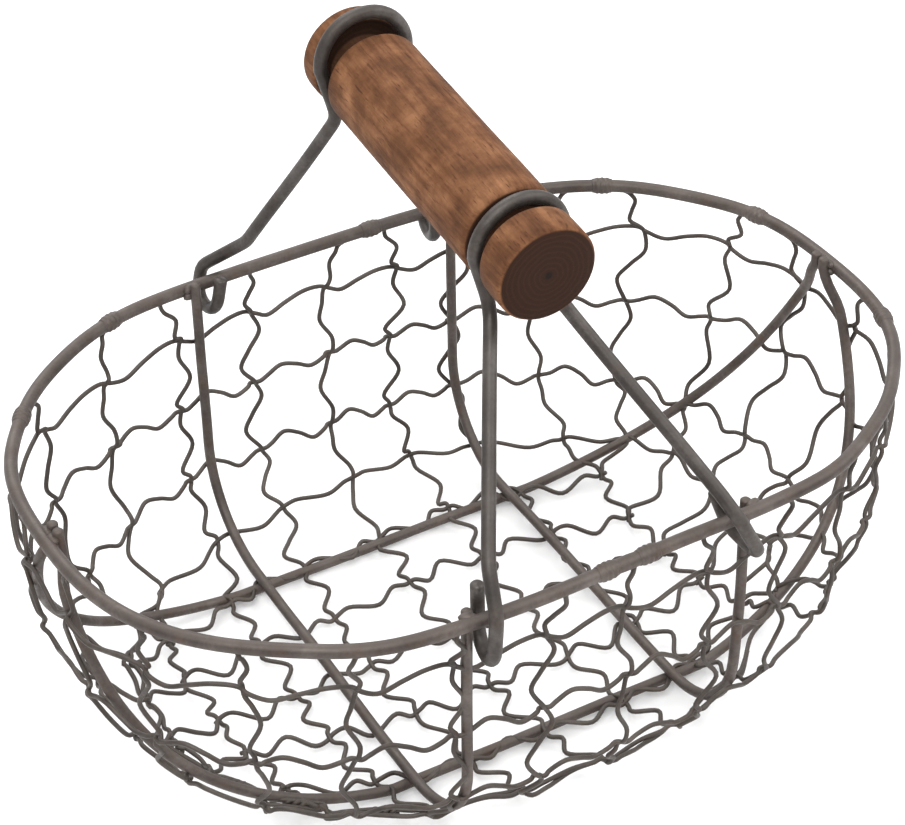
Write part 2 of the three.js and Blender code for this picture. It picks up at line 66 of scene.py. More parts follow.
# Driving dimensions, read from the frame.
rim_low, rim_high = box_mm("rim")
RIM_WIRE = rim_high[2] - rim_low[2]
HEX_REACH = 1 / math.cos(math.pi / 6)
RIM_RADIUS = RIM_WIRE / 2
RIM_HALF_LENGTH = (rim_high[0] - rim_low[0]) / 2 - RIM_RADIUS * HEX_REACH
RIM_HALF_WIDTH = (rim_high[1] - rim_low[1]) / 2 - RIM_RADIUS * HEX_REACH
RIM_HEIGHT = (rim_high[2] + rim_low[2]) / 2
RIM_POWER = 2.58
RIM_STEPS = 56
RIM_SIDES = 20
RIM_SPACING = 2.6
OVAL_SAMPLES = 1440

# The butt weld: where it is in rim steps, how far it reaches, and how much it swells.
RIM_SEAM_STEP = 42.0
RIM_SEAM_REACH = 0.22
RIM_SEAM_SWELL = 0.1

RIB_WIRE = RIM_WIRE * 0.8
RIB_RADIUS = RIB_WIRE / 2
RIB_INSET = RIM_RADIUS + RIB_RADIUS * 0.94
RIB_PROUD_FAR = 3.0
RIB_PROUD_NEAR = 1.4
RIB_MIDDLE_X = -1.45
RIB_SPREAD = 44.15
RIB_SKEW = 1.9
RIB_FOOT_FAR = RIM_HALF_WIDTH * 0.942
RIB_FOOT_NEAR = RIM_HALF_WIDTH * 0.918
RIB_FILLET = 31.0
RIB_SHOULDER_BEND = 30.0
RIB_SPACING = 3.0
RIB_SIDES = 16
CROSS_FOOT_Z = RIB_WIRE * 1.5
LONG_FOOT_Z = RIB_RADIUS
LONG_FOOT_HALF = RIM_HALF_WIDTH * 0.552
LONG_POWER = 2.72
LONG_FLAT_HALF = 53.0
LONG_HALF_LENGTH = RIM_HALF_LENGTH - RIB_INSET
LONG_BULGE_HALF = RIM_HALF_LENGTH - 0.6
LONG_TUCK = 14.0
LONG_SAMPLES = 160

NET_RADIUS = RIM_WIRE * 0.18
NET_PITCH = 26.3
NET_MIDDLE_X = 2.0
NET_SIDE_COLUMNS = 7
NET_END_COLUMNS = 6
NET_ROW_HEIGHTS = [75.4, 49.5, 23.5, 7.6]
NET_FLOOR_ROWS = 5
NET_FLOOR_FLAT = 0.74
NET_END_HALF = RIM_HALF_LENGTH + 1.5
NET_LEFT_POWER = 3.4
NET_RIGHT_POWER = 3.1
NET_SEAM_RISE = 9.0
NET_WAVE = 4.6

# The far wall's columns lean, more to the right of the start and further down.
NET_FAR_LEAN = 9.0
NET_LEAN_START = 5
NET_LEAN_REACH = 45
NET_LEAN_DEPTH = 45
NET_SIDES = 8
NET_SPAN_STEPS = 6
NET_UP = np.array([0.3, 0.2, 1.0])
NET_SEED = 41
NET_SHAKE = 1.1
FLOOR_SHAKE = 1.6
FLOOR_DRIFT = 8.5
FLOOR_DRIFT_WIDTH = 150

BAIL_RADIUS = RIM_RADIUS
NEAR_LOOP = joint_mm("grip_rock") + np.array([-2.9, 0.0, 0.0])
FAR_LOOP = np.array([-1.3, 50.3, 179.0])
LOOP_RADIUS = 13.7
LOOP_MOUTH_HALF = 9.2
LOOP_MOUTH_DROP = 17.0

GRIP_NEAR = np.array([-3.3, -53.5, 165.3])
GRIP_FAR = np.array([0.0, 62.5, 175.2])
GRIP_RADIUS = 14.6
NECK_RADIUS = 8.9
COLLAR_NEAR = 11.8
COLLAR_FAR = 8.0
GROOVE_WIDTH = 7.8


# ---- small geometry helpers

def unit(vector):
    return vector / max(np.linalg.norm(vector), 1e-12)


def vec(x, y, z):
    return np.array([x, y, z], float)


def smooth_run(points, per_span, closed):
    """A centripetal spline through the points."""
    points = [np.array(p, float) for p in points]
    count = len(points)
    spans = count if closed else count - 1
    out = []
    for i in range(spans):
        b = points[i]
        c = points[(i + 1) % count]
        a = points[(i - 1) % count] if closed or i > 0 else b + (b - c)
        d = points[(i + 2) % count] if closed or i + 2 < count else c + (c - b)
        ta = 0.0
        tb = ta + math.sqrt(max(np.linalg.norm(b - a), 1e-9))
        tc = tb + math.sqrt(max(np.linalg.norm(c - b), 1e-9))
        td = tc + math.sqrt(max(np.linalg.norm(d - c), 1e-9))
        for k in range(per_span):
            t = tb + (tc - tb) * k / per_span
            ab = (a * (tb - t) + b * (t - ta)) / (tb - ta)
            bc = (b * (tc - t) + c * (t - tb)) / (tc - tb)
            cd = (c * (td - t) + d * (t - tc)) / (td - tc)
            abc = (ab * (tc - t) + bc * (t - ta)) / (tc - ta)
            bcd = (bc * (td - t) + cd * (t - tb)) / (td - tb)
            out.append((abc * (tc - t) + bcd * (t - tb)) / (tc - tb))
    if not closed:
        out.append(points[-1])
    return out


# A bend takes up to this part of the straight beside it, and smaller turns than this stay sharp.
BEND_SHARE = 0.49
LEAST_TURN = 0.02


def bent_wire(corners, step):
    """Straight runs with rounded bends. Each corner is (point, bend radius)."""
    points = [np.array(corners[0][0], float)]
    for i in range(1, len(corners) - 1):
        at = np.array(corners[i][0], float)
        bend = corners[i][1]
        back = corners[i - 1][0] - at
        forth = corners[i + 1][0] - at
        reach = min(np.linalg.norm(back), np.linalg.norm(forth)) * BEND_SHARE
        back = unit(back)
        forth = unit(forth)
        opening = math.acos(max(-1.0, min(1.0, float(np.dot(back, forth)))))
        turn = math.pi - opening
        if not bend or turn < LEAST_TURN:
            points.append(at)
            continue
        setback = min(bend / math.tan(opening / 2), reach)
        radius = setback * math.tan(opening / 2)
        centre = at + unit(back + forth) * radius / math.sin(opening / 2)
        start = at + back * setback - centre
        axis = unit(np.cross(start, at + forth * setback - centre))
        steps = max(2, round(turn / step))
        for k in range(steps + 1):
            swing = turn * k / steps
            turned = start * math.cos(swing) + np.cross(axis, start) * math.sin(swing)
            points.append(centre + turned)
    points.append(np.array(corners[-1][0], float))
    return points


def resample(points, spacing, closed=False):
    """The same run with points at an even spacing."""
    run = [np.array(p, float) for p in points]
    if closed:
        run.append(run[0])
    lengths = [0.0]
    for a, b in zip(run[:-1], run[1:]):
        lengths.append(lengths[-1] + float(np.linalg.norm(b - a)))
    count = max(2, round(lengths[-1] / spacing))
    goals = np.linspace(0, lengths[-1], count + 1)
    run = np.array(run)
    out = np.stack([np.interp(goals, lengths, run[:, k]) for k in range(3)], axis=1)
    return list(out[:-1]) if closed else list(out)


SEED_STRIDE = 37.0
HELD_SHARE = 0.08


# noise_vector takes its offset from the clock unless this is set.
noise.seed_set(41)


def hand_bent(points, amount, length, seed):
    """Slow small wanderings, as in wire bent by hand. The ends keep their places."""
    count = len(points)
    held = count * HELD_SHARE + 1
    out = []
    for i, point in enumerate(points):
        x, y, z = (float(value) for value in point)
        spot = Vector((x, y, z + seed * SEED_STRIDE)) / length
        drift = np.array(noise.noise_vector(spot)) * amount
        freedom = min(1.0, i / held, (count - 1 - i) / held)
        out.append(point + drift * freedom)
    return out


class Parts:
    """Vertices and faces of one piece while it is being put together."""

    def __init__(self):
        self.verts = []
        self.faces = []

    def add(self, verts, faces):
        start = len(self.verts)
        self.verts.extend(verts)
        self.faces.extend([[start + k for k in face] for face in faces])


def carried_normals(tangents, up, closed):
    """A sideways direction at each point that doesn't spin, and the twist that closes a loop."""
    first = up - tangents[0] * np.dot(up, tangents[0])
    if np.linalg.norm(first) < 1e-3:
        first = np.cross(tangents[0], vec(1, 0, 0))
    normals = [unit(first)]
    for tangent in tangents[1:]:
        normals.append(unit(normals[-1] - tangent * np.dot(normals[-1], tangent)))
    if not closed:
        return normals, 0.0
    end = unit(normals[-1] - tangents[0] * np.dot(normals[-1], tangents[0]))
    twist = math.atan2(np.dot(np.cross(end, normals[0]), tangents[0]), np.dot(end, normals[0]))
    return normals, twist


# A wire's end: how wide and how high its inner ring is, and how high its tip, in radii.
CAP_WIDTH = 0.72
CAP_RISE = 0.3
CAP_TIP = 0.36


def add_cap(verts, faces, ring_start, sides, centre, outward, radius, flip):
    """Closes one end of a tube with a low dome."""
    inner_start = len(verts)
    for k in range(sides):
        edge = verts[ring_start + k] - centre
        verts.append(centre + edge * CAP_WIDTH + outward * radius * CAP_RISE)
    tip = len(verts)
    verts.append(centre + outward * radius * CAP_TIP)
    for k in range(sides):
        turn = (k + 1) % sides
        quad = [ring_start + k, ring_start + turn, inner_start + turn, inner_start + k]
        cap = [inner_start + k, inner_start + turn, tip]
        faces.append(quad[::-1] if flip else quad)
        faces.append(cap[::-1] if flip else cap)


def ring_faces(count, sides, closed):
    """Quads between each ring of vertices and the next."""
    faces = []
    for i in range(count if closed else count - 1):
        here = i * sides
        following = ((i + 1) % count) * sides
        for k in range(sides):
            turn = (k + 1) % sides
            faces.append([here + k, here + turn, following + turn, following + k])
    return faces


def add_tube(parts, points, radius, sides, closed=False, up=UP):
    """Sweeps a round section along the points. radius is one value or one for each point."""
    count = len(points)
    pts = np.array(points, float)
    radii = np.full(count, float(radius)) if np.isscalar(radius) else np.array(radius, float)
    if closed:
        tangents = np.roll(pts, -1, 0) - np.roll(pts, 1, 0)
    else:
        tangents = np.gradient(pts, axis=0)
    tangents /= np.maximum(np.linalg.norm(tangents, axis=1)[:, None], 1e-12)
    normals, twist = carried_normals(tangents, up, closed)
    verts = []
    for i in range(count):
        side = np.cross(tangents[i], normals[i])
        spin = twist * i / count
        for k in range(sides):
            angle = 2 * math.pi * k / sides + spin
            ring = normals[i] * math.cos(angle) + side * math.sin(angle)
            verts.append(pts[i] + ring * radii[i])
    faces = ring_faces(count, sides, closed)
    if not closed:
        for end, sign in ((0, -1.0), (count - 1, 1.0)):
            outward = tangents[end] * sign
            add_cap(verts, faces, end * sides, sides, pts[end], outward, radii[end], sign < 0)
    parts.add(verts, faces)


BEAD_RINGS = 9
BEAD_SIDES = 14
BEAD_LUMP = 0.16
BEAD_LUMP_SCALE = 1.7
BEAD_SEED_X = 5.1
BEAD_SEED_Y = 3.3


def add_bead(parts, centre, radii, axes, seed):
    """A small lumpy ellipsoid, such as a weld bead. axes are its three directions."""
    shift = Vector((seed * BEAD_SEED_X, seed * BEAD_SEED_Y, 0))
    verts = []
    for i in range(BEAD_RINGS + 1):
        tilt = math.pi * i / BEAD_RINGS
        for k in range(BEAD_SIDES):
            angle = 2 * math.pi * k / BEAD_SIDES
            way = vec(math.sin(tilt) * math.cos(angle), math.sin(tilt) * math.sin(angle), math.cos(tilt))
            lump = 1 + BEAD_LUMP * noise.noise(Vector(way * BEAD_LUMP_SCALE) + shift)
            verts.append(centre + sum(axes[j] * way[j] * radii[j] * lump for j in range(3)))
    faces = []
    for i in range(BEAD_RINGS):
        here = i * BEAD_SIDES
        following = here + BEAD_SIDES
        for k in range(BEAD_SIDES):
            turn = (k + 1) % BEAD_SIDES
            faces.append([here + k, following + k, following + turn, here + turn])
    parts.add(verts, faces)


def make_piece(name, parts, material, body, slot_name, *replaced):
    """Makes the mesh in metres, sets it on its body and hides the CAD nodes it stands for."""
    mesh = bpy.data.meshes.new(name)
    mesh.from_pydata([tuple(v * MM) for v in parts.verts], [], parts.faces)
    mesh.validate()
    mesh.polygons.foreach_set("use_smooth", [True] * len(mesh.polygons))
    mesh.materials.append(material)
    mesh.update()
    piece = bpy.data.objects.new(name, mesh)
    bpy.context.scene.collection.objects.link(piece)
    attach(piece, body)
    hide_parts(*replaced)


# ---- the wire frame's curves

def oval_side(x, half, side, power):
    return side * (1 - min(abs(x / half), 1.0) ** power) ** (1 / power)


def oval_point(angle, half, side, power):
    c = math.cos(angle)
    s = math.sin(angle)
    x = half * math.copysign(abs(c) ** (2 / power), c)
    y = side * math.copysign(abs(s) ** (2 / power), s)
    return x, y


def oval_run(half, side, power, start, end, count):
    """Points spread evenly by length along an oval, between two angles."""
    angles = [start + (end - start) * i / OVAL_SAMPLES for i in range(OVAL_SAMPLES + 1)]
    fine = np.array([oval_point(angle, half, side, power) for angle in angles])
    lengths = np.concatenate([[0], np.cumsum(np.linalg.norm(np.diff(fine, axis=0), axis=1))])
    goals = np.linspace(0, lengths[-1], count + 1)
    return np.stack([np.interp(goals, lengths, fine[:, k]) for k in range(2)], axis=1)


# Where the rim was bent by hand: place in turns, reach in turns, and how far out it bows.
RIM_BOWS = [
    (0.085, 0.035, -1.8), (0.25, 0.04, -1.2), (0.325, 0.035, 2.5), (0.42, 0.03, -1.2),
    (0.675, 0.032, 3.0), (0.76, 0.025, -1.8), (0.825, 0.024, 2.0), (0.91, 0.028, -1.0),
]


# Half the turn, in radians, over which the rim's direction is taken.
DIRECTION_STEP = 0.01


def rim_point(turn):
    """A place on the rim's wire centre. turn runs from the right end by the far side."""
    angle = 2 * math.pi * turn
    x, y = oval_point(angle, RIM_HALF_LENGTH, RIM_HALF_WIDTH, RIM_POWER)
    ahead = oval_point(angle + DIRECTION_STEP, RIM_HALF_LENGTH, RIM_HALF_WIDTH, RIM_POWER)
    behind = oval_point(angle - DIRECTION_STEP, RIM_HALF_LENGTH, RIM_HALF_WIDTH, RIM_POWER)
    outward = unit(vec(ahead[1] - behind[1], behind[0] - ahead[0], 0))
    bow = sum(size * math.exp(-((turn - at) / reach) ** 2) for at, reach, size in RIM_BOWS)
    return vec(x, y, RIM_HEIGHT) + outward * bow


def rim_turn(x, y):
    """The turn at which the rim passes outside a place."""
    angle = math.atan2(
        math.copysign(abs(y / RIM_HALF_WIDTH) ** (RIM_POWER / 2), y),
        math.copysign(abs(x / RIM_HALF_LENGTH) ** (RIM_POWER / 2), x),
    )
    return (angle / (2 * math.pi)) % 1.0


RIM_RUN = resample([rim_point(k / OVAL_SAMPLES) for k in range(OVAL_SAMPLES)], 1.0, True)


def rim_place(step):
    """A place on the rim and the direction along it. step counts in rim steps by length."""
    index = round(step / RIM_STEPS * len(RIM_RUN)) % len(RIM_RUN)
    following = RIM_RUN[(index + 1) % len(RIM_RUN)]
    return RIM_RUN[index], unit(following - RIM_RUN[index])


def cross_rib_run(x):
    """Down the far wall, over the floor and up the near wall, a little askew."""
    side = oval_side(x, RIM_HALF_LENGTH, RIM_HALF_WIDTH, RIM_POWER)
    far = rim_point(rim_turn(x + RIB_SKEW, side))[1] - RIB_INSET
    near = rim_point(rim_turn(x - RIB_SKEW, -side))[1] + RIB_INSET
    points = bent_wire([
        (vec(0, far, RIM_HEIGHT + RIB_PROUD_FAR), 0),
        (vec(0, far, RIM_HEIGHT - RIB_PROUD_FAR), RIB_SHOULDER_BEND),
        (vec(0, RIB_FOOT_FAR, CROSS_FOOT_Z), RIB_FILLET),
        (vec(0, -RIB_FOOT_NEAR, CROSS_FOOT_Z), RIB_FILLET),
        (vec(0, near, RIM_HEIGHT - RIB_PROUD_FAR), RIB_SHOULDER_BEND),
        (vec(0, near, RIM_HEIGHT + RIB_PROUD_NEAR), 0),
    ], math.pi / 24)
    points = [vec(x + RIB_SKEW * p[1] / RIM_HALF_WIDTH, p[1], p[2]) for p in points]
    return resample(points, RIB_SPACING)


def ease(value):
    """Rises smoothly from 0 to 1."""
    value = max(0.0, min(1.0, value))
    return value * value * (3 - 2 * value)


LONG_FLAT_DROP = oval_side(LONG_FLAT_HALF, LONG_BULGE_HALF, 1, LONG_POWER)
LONG_TOP_Y = RIB_RADIUS * 1.15


def long_rib_run(side):
    """From one end of the rim to the other. The tops tuck in behind the rim."""
    depth = RIM_HEIGHT - LONG_FOOT_Z
    points = []
    for x, down in oval_run(LONG_BULGE_HALF, depth, LONG_POWER, 0, math.pi, LONG_SAMPLES):
        drop = min(down / depth / LONG_FLAT_DROP, 1)
        tuck = ease((LONG_TUCK - depth * drop) / (LONG_TUCK - RIM_RADIUS))
        half = LONG_BULGE_HALF + (LONG_HALF_LENGTH - LONG_BULGE_HALF) * tuck
        y = side * (LONG_TOP_Y + (LONG_FOOT_HALF - LONG_TOP_Y) * drop)
        points.append(vec(x * half / LONG_BULGE_HALF, y, RIM_HEIGHT - depth * drop))
    first = vec(points[0][0], side * LONG_TOP_Y, RIM_HEIGHT + RIB_PROUD_FAR)
    last = vec(points[-1][0], side * LONG_TOP_Y, RIM_HEIGHT + RIB_PROUD_FAR)
    return resample([first] + points + [last], RIB_SPACING)


# ---- the netting

def wall_half(z, x):
    """Half length of the netted bowl at a height. The right end is rounded off more."""
    down = min(max((RIM_HEIGHT - z) / RIM_HEIGHT, 0.0), 1.0)
    power = NET_RIGHT_POWER if x > 0 else NET_LEFT_POWER
    return NET_END_HALF * (1 - down ** power) ** (1 / power)


def wall_side(z, y, half):
    """Half width of the netted bowl at a height, just outside the cross ribs."""
    foot = RIB_FOOT_FAR if y > 0 else RIB_FOOT_NEAR
    knee = CROSS_FOOT_Z + RIB_FILLET
    below = min(max(knee - z, 0.0), RIB_FILLET)
    stand = RIB_RADIUS + NET_RADIUS
    reach = foot - RIB_FILLET + math.sqrt((RIB_FILLET + stand) ** 2 - below ** 2)
    return reach / (1 - (RIB_SPREAD / half) ** RIM_POWER) ** (1 / RIM_POWER)


def on_wall(point):
    """Moves a point straight in or out until it lies on the wall of the netting."""
    x, y, z = point
    half = wall_half(z, x)
    side = wall_side(z, y, half)
    reach = abs(x / half) ** RIM_POWER + abs(y / side) ** RIM_POWER
    scale = reach ** (-1 / RIM_POWER)
    return vec(x * scale, y * scale, z)


SEAM_Z = NET_ROW_HEIGHTS[-1]


def seam_height(x):
    """The seam climbs towards the ends of the bowl."""
    outward = min(abs(x / wall_half(SEAM_Z + NET_SEAM_RISE, x)), 1.0)
    return SEAM_Z + NET_SEAM_RISE * outward ** 4


def on_floor(point):
    """Sets a point on the floor of the netting, which curls up to the seam at its edge."""
    x, y, _ = point
    height = seam_height(x)
    half = wall_half(height, x)
    side = wall_side(SEAM_Z, y, half)
    reach = (abs(x / half) ** RIM_POWER + abs(y / side) ** RIM_POWER) ** (1 / RIM_POWER)
    rise = max(0.0, (min(reach, 1.0) - NET_FLOOR_FLAT) / (1 - NET_FLOOR_FLAT))
    low = CROSS_FOOT_Z - RIB_RADIUS - NET_RADIUS
    return vec(x, y, low + (height - low) * rise * rise)


CLIMB_STEP = 2.0


def wall_climb(point):
    """Which way is up along the wall of the netting."""
    return unit(on_wall(point + UP * CLIMB_STEP) - on_wall(point - UP * CLIMB_STEP))


def wall_outward(point):
    """Which way is out of the bowl at a place on its wall."""
    around = unit(vec(point[1] / RIM_HALF_WIDTH ** 2, -point[0] / RIM_HALF_LENGTH ** 2, 0))
    return unit(np.cross(wall_climb(point), around))


def column_xs():
    middle = (NET_SIDE_COLUMNS - 1) / 2
    return [NET_MIDDLE_X + (i - middle) * NET_PITCH for i in range(NET_SIDE_COLUMNS)]


def row_crossings(row):
    """The crossings of one wall row, from the far left corner round by the far side."""
    height = NET_ROW_HEIGHTS[row]
    is_seam = row == len(NET_ROW_HEIGHTS) - 1

    def place(x, y):
        spot = on_wall(vec(x, y, height + NET_SEAM_RISE / 2 if is_seam else height))
        return on_wall(vec(spot[0], spot[1], seam_height(spot[0]))) if is_seam else spot

    def side_place(x, hand):
        if hand > 0:
            across = ease((x - NET_LEAN_START) / NET_LEAN_REACH)
            x -= NET_FAR_LEAN * across * min(1.0, (RIM_HEIGHT - height) / NET_LEAN_DEPTH)
        z = seam_height(x) if is_seam else height
        half = wall_half(z, x)
        y = oval_side(x, half, wall_side(z, hand, half), RIM_POWER)
        return vec(x, hand * y, z)

    def end_places(x, hand):
        low = side_place(x, 1)
        angle = math.atan2(
            (low[1] / RIM_HALF_WIDTH) ** (RIM_POWER / 2),
            (abs(low[0]) / RIM_HALF_LENGTH) ** (RIM_POWER / 2),
        )
        run = oval_run(RIM_HALF_LENGTH, RIM_HALF_WIDTH, RIM_POWER, angle, -angle, NET_END_COLUMNS + 1)
        return [place(hand * px, hand * py) for px, py in run[1:-1]]

    xs = column_xs()
    far = [side_place(x, 1) for x in xs]
    near = [side_place(x, -1) for x in reversed(xs)]
    return far + end_places(xs[-1], 1) + near + end_places(xs[0], -1)


TIE_PLACES = [2.5, 6.5, 12.5, 19.5, 23.5, 41.5, 42.5, 53.5]
TIE_PULL = 8.0
TIE_PULL_SHARE = 0.5
TIE_PULL_REACH = 30.0


def top_of(crossing):
    """Where the netting wire above a crossing meets the rim, drawn along it to the nearest tie."""
    above = rim_point(rim_turn(crossing[0], crossing[1]))
    ties = [rim_place(step)[0] for step in TIE_PLACES]
    nearest = min(ties, key=lambda tie: np.linalg.norm(tie - above))
    away = np.linalg.norm(nearest - above)
    pull = min(TIE_PULL, away * TIE_PULL_SHARE) * math.exp(-(away / TIE_PULL_REACH) ** 2)
    drawn = above + unit(nearest - above) * pull
    return rim_point(rim_turn(drawn[0], drawn[1])) - UP * RIM_RADIUS


# Half the length of a crossing along the wire, in wire radii.
CROSSING_LEAD = 1.9


class NetWire:
    """One wire of the netting: its crossings, and the waves it makes between them."""

    def __init__(self, hand, closed=False):
        self.hand = hand
        self.closed = closed
        self.nodes = []
        self.outs = []
        self.waves = []
        self.settles = []

    def to(self, node, outward, waves=(), settle=None):
        """Adds a crossing, and the waves and surface of the stretch that leaves it."""
        self.nodes.append(node)
        self.outs.append(outward)
        self.waves.append(waves)
        self.settles.append(settle)

    def controls(self):
        count = len(self.nodes)
        spans = count if self.closed else count - 1
        between = []
        for i in range(spans):
            start = self.nodes[i]
            end = self.nodes[(i + 1) % count]
            outward = unit(self.outs[i] + self.outs[(i + 1) % count])
            across = unit(np.cross(end - start, outward))
            size = min(1.0, np.linalg.norm(end - start) / NET_PITCH)
            points = []
            for place, offset in self.waves[i]:
                point = start + (end - start) * place + across * offset * size
                points.append(self.settles[i](point) if self.settles[i] else point)
            between.append(points)
        out = []
        for i in range(count):
            before = between[i - 1] if self.closed or i > 0 else []
            after = between[i] if i < spans else []
            back = before[-1] if before else self.nodes[i]
            forth = after[0] if after else self.nodes[i]
            lead = unit(forth - back) * NET_RADIUS * CROSSING_LEAD
            lift = self.outs[i] * self.hand * NET_RADIUS
            out.append(self.nodes[i] - lead + lift)
            out.append(self.nodes[i] + lead - lift)
            out.extend(after)
        return out


# Waves between two crossings: how far along, and how far aside as a part of NET_WAVE.
TOP_ROW_WAVES = [(0.25, -0.6), (0.5, -0.1), (0.74, 0.28)]
ROW_WAVES = [(0.14, 0.15), (0.32, 0.62), (0.52, 0.15), (0.7, -0.5), (0.88, -0.15)]
SEAM_WAVES = [(0.2, 0.15), (0.6, -0.5), (0.85, -0.15)]
COLUMN_WAVES = [
    [(0.2, -0.15), (0.55, 0.75), (0.86, -0.4)],
    [(0.26, 0.5), (0.5, -0.3), (0.72, -0.9)],
    [(0.22, -0.4), (0.46, -0.72), (0.8, 0.2)],
]
WAVE_SIZES = (0.85, 1.15)
WAVE_SHIFT = 0.04
FLOOR_WAVE_SIZES = (0.7, 1.3)
FLOOR_WAVE_SHIFT = 0.08


def varied(waves, dice):
    """The same waves, a little larger or smaller and a little to one side."""
    size = NET_WAVE * dice.uniform(*WAVE_SIZES)
    shift = dice.uniform(-WAVE_SHIFT, WAVE_SHIFT)
    return [(place + shift, offset * size) for place, offset in waves]


def row_waves(row, dice):
    """The waves of one wall row, from left to right as seen from the near side."""
    if row == 0:
        return varied(TOP_ROW_WAVES, dice)
    if row == len(NET_ROW_HEIGHTS) - 1:
        return varied(SEAM_WAVES, dice)
    return varied(ROW_WAVES, dice)


def column_waves(kind, dice):
    """The waves of a column, from top to bottom, in one of three kinds."""
    return varied(COLUMN_WAVES[kind], dice)


def reversed_waves(waves):
    """The same waves for a stretch that runs the other way."""
    return [(1 - place, offset) for place, offset in reversed(waves)]


def floor_waves(dice):
    """One bulge with a small dip on each side of it."""
    size = NET_WAVE * dice.uniform(*FLOOR_WAVE_SIZES) * dice.choice((-1, 1))
    shift = dice.uniform(-FLOOR_WAVE_SHIFT, FLOOR_WAVE_SHIFT)
    return [(0.22, -0.4 * size), (0.5 + shift, 0.8 * size), (0.8, -0.35 * size)]


def net_crossings(dice):
    """All the crossings: the wall rows, and the floor between them by column."""
    def shaken(point, settle, amount):
        shift = vec(dice.uniform(-1, 1), dice.uniform(-1, 1), dice.uniform(-1, 1))
        return settle(point + shift * amount)

    last = len(NET_ROW_HEIGHTS) - 1
    walls = []
    for r in range(len(NET_ROW_HEIGHTS)):
        settle = on_floor if r == last else on_wall
        walls.append([shaken(p, settle, NET_SHAKE) for p in row_crossings(r)])
    floor = []
    for i, x in enumerate(column_xs()):
        edge = walls[-1][i][1] * (NET_FLOOR_ROWS - 1) / (NET_FLOOR_ROWS + 1)
        line = []
        for j in range(NET_FLOOR_ROWS):
            y = edge * (1 - 2 * j / (NET_FLOOR_ROWS - 1))
            drift = FLOOR_DRIFT * math.cos(math.pi * y / FLOOR_DRIFT_WIDTH)
            line.append(shaken(vec(x - drift, y, 0), on_floor, FLOOR_SHAKE))
        floor.append(line)
    return walls, floor


def settle_for(row, walls):
    """The seam's row lies on the floor's edge, and the others on the wall."""
    return on_floor if row is walls[-1] else on_wall


def net_rows(walls, floor, dice):
    """The wires that run round the walls, and those that cross the floor lengthwise."""
    wires = []
    for r, row in enumerate(walls):
        wire = NetWire(1, closed=True)
        for c, node in enumerate(row):
            following = row[(c + 1) % len(row)]
            waves = row_waves(r, dice)
            if node[1] + following[1] < 0:
                waves = reversed_waves(waves)
            wire.to(node, wall_outward(node), waves, settle_for(row, walls))
        wires.append(wire)
    for j in range(NET_FLOOR_ROWS):
        wire = NetWire(1)
        for line in floor:
            wire.to(line[j], -UP, floor_waves(dice), on_floor)
        wires.append(wire)
    return wires


def side_columns(walls, floor, dice):
    """The wires that run down the far wall, across the floor and up the near wall."""
    wires = []
    near_start = NET_SIDE_COLUMNS + NET_END_COLUMNS
    for i in range(NET_SIDE_COLUMNS):
        opposite = near_start + NET_SIDE_COLUMNS - 1 - i
        kind = (i + 2) % len(COLUMN_WAVES)
        wire = NetWire(-1)
        wire.to(top_of(walls[0][i]), wall_outward(walls[0][i]), column_waves(kind, dice))
        for row in walls:
            wire.to(row[i], wall_outward(row[i]), column_waves(kind, dice), settle_for(row, walls))
        for node in floor[i]:
            wire.to(node, -UP, floor_waves(dice), on_floor)
        for row in reversed(walls):
            upward = reversed_waves(column_waves(kind, dice))
            wire.to(row[opposite], wall_outward(row[opposite]), upward, on_wall)
        wire.settles[-1] = None
        wire.to(top_of(walls[0][opposite]), wall_outward(walls[0][opposite]))
        wires.append(wire)
    return wires


def end_columns(walls, floor, dice):
    """The wires that run down the two ends and stop at the first crossings of the floor."""
    wires = []
    near_start = NET_SIDE_COLUMNS + NET_END_COLUMNS
    for m in range(NET_END_COLUMNS):
        place = min(NET_FLOOR_ROWS - 1, m * NET_FLOOR_ROWS // (NET_END_COLUMNS - 1))
        feet = (
            (NET_SIDE_COLUMNS + m, floor[-1][place]),
            (near_start + NET_SIDE_COLUMNS + m, floor[0][NET_FLOOR_ROWS - 1 - place]),
        )
        for column, foot in feet:
            kind = dice.choice((0, 1, 2))
            wire = NetWire(-1)
            top = walls[0][column]
            wire.to(top_of(top), wall_outward(top), column_waves(kind, dice))
            for row in walls:
                node = row[column]
                wire.to(node, wall_outward(node), column_waves(kind, dice), settle_for(row, walls))
            wire.to(foot, -UP)
            wires.append(wire)
    return wires


# Places along the seam are parts of its length, from the far left corner by the far side.
LACE_START = 0.52
LACE_END = 0.95
LACE_LOOP = 37.0
LACE_LIFT = 1.0
LACE_SWAY = 1.8
LACE_SWAY_CHANGE = 0.6
LACE_SWAY_RUN = 9
LACE_DRIFT = 0.5
LACE_DRIFT_RUN = 15
KNOT_PLACES = [0.745, 0.79, 0.825, 0.865]
KNOT_HALF = 3.4
KNOT_TWISTS = 1.6
KNOT_WIND = 0.9
KNOT_STEPS = 36


def build_lace(parts, seam):
    """A second wire laced along the seam in long loops, round the near side and left end."""
    points = []
    for k in range(round(len(seam) * LACE_START), round(len(seam) * LACE_END)):
        phase = 2 * math.pi * k / LACE_LOOP + LACE_DRIFT * math.sin(k / LACE_DRIFT_RUN)
        width = LACE_SWAY + LACE_SWAY_CHANGE * math.sin(k / LACE_SWAY_RUN)
        sway = LACE_LIFT + width * math.sin(phase)
        lift = NET_RADIUS * (1 + math.cos(phase))
        points.append(seam[k] + wall_climb(seam[k]) * sway + wall_outward(seam[k]) * lift)
    add_tube(parts, points, NET_RADIUS, NET_SIDES)


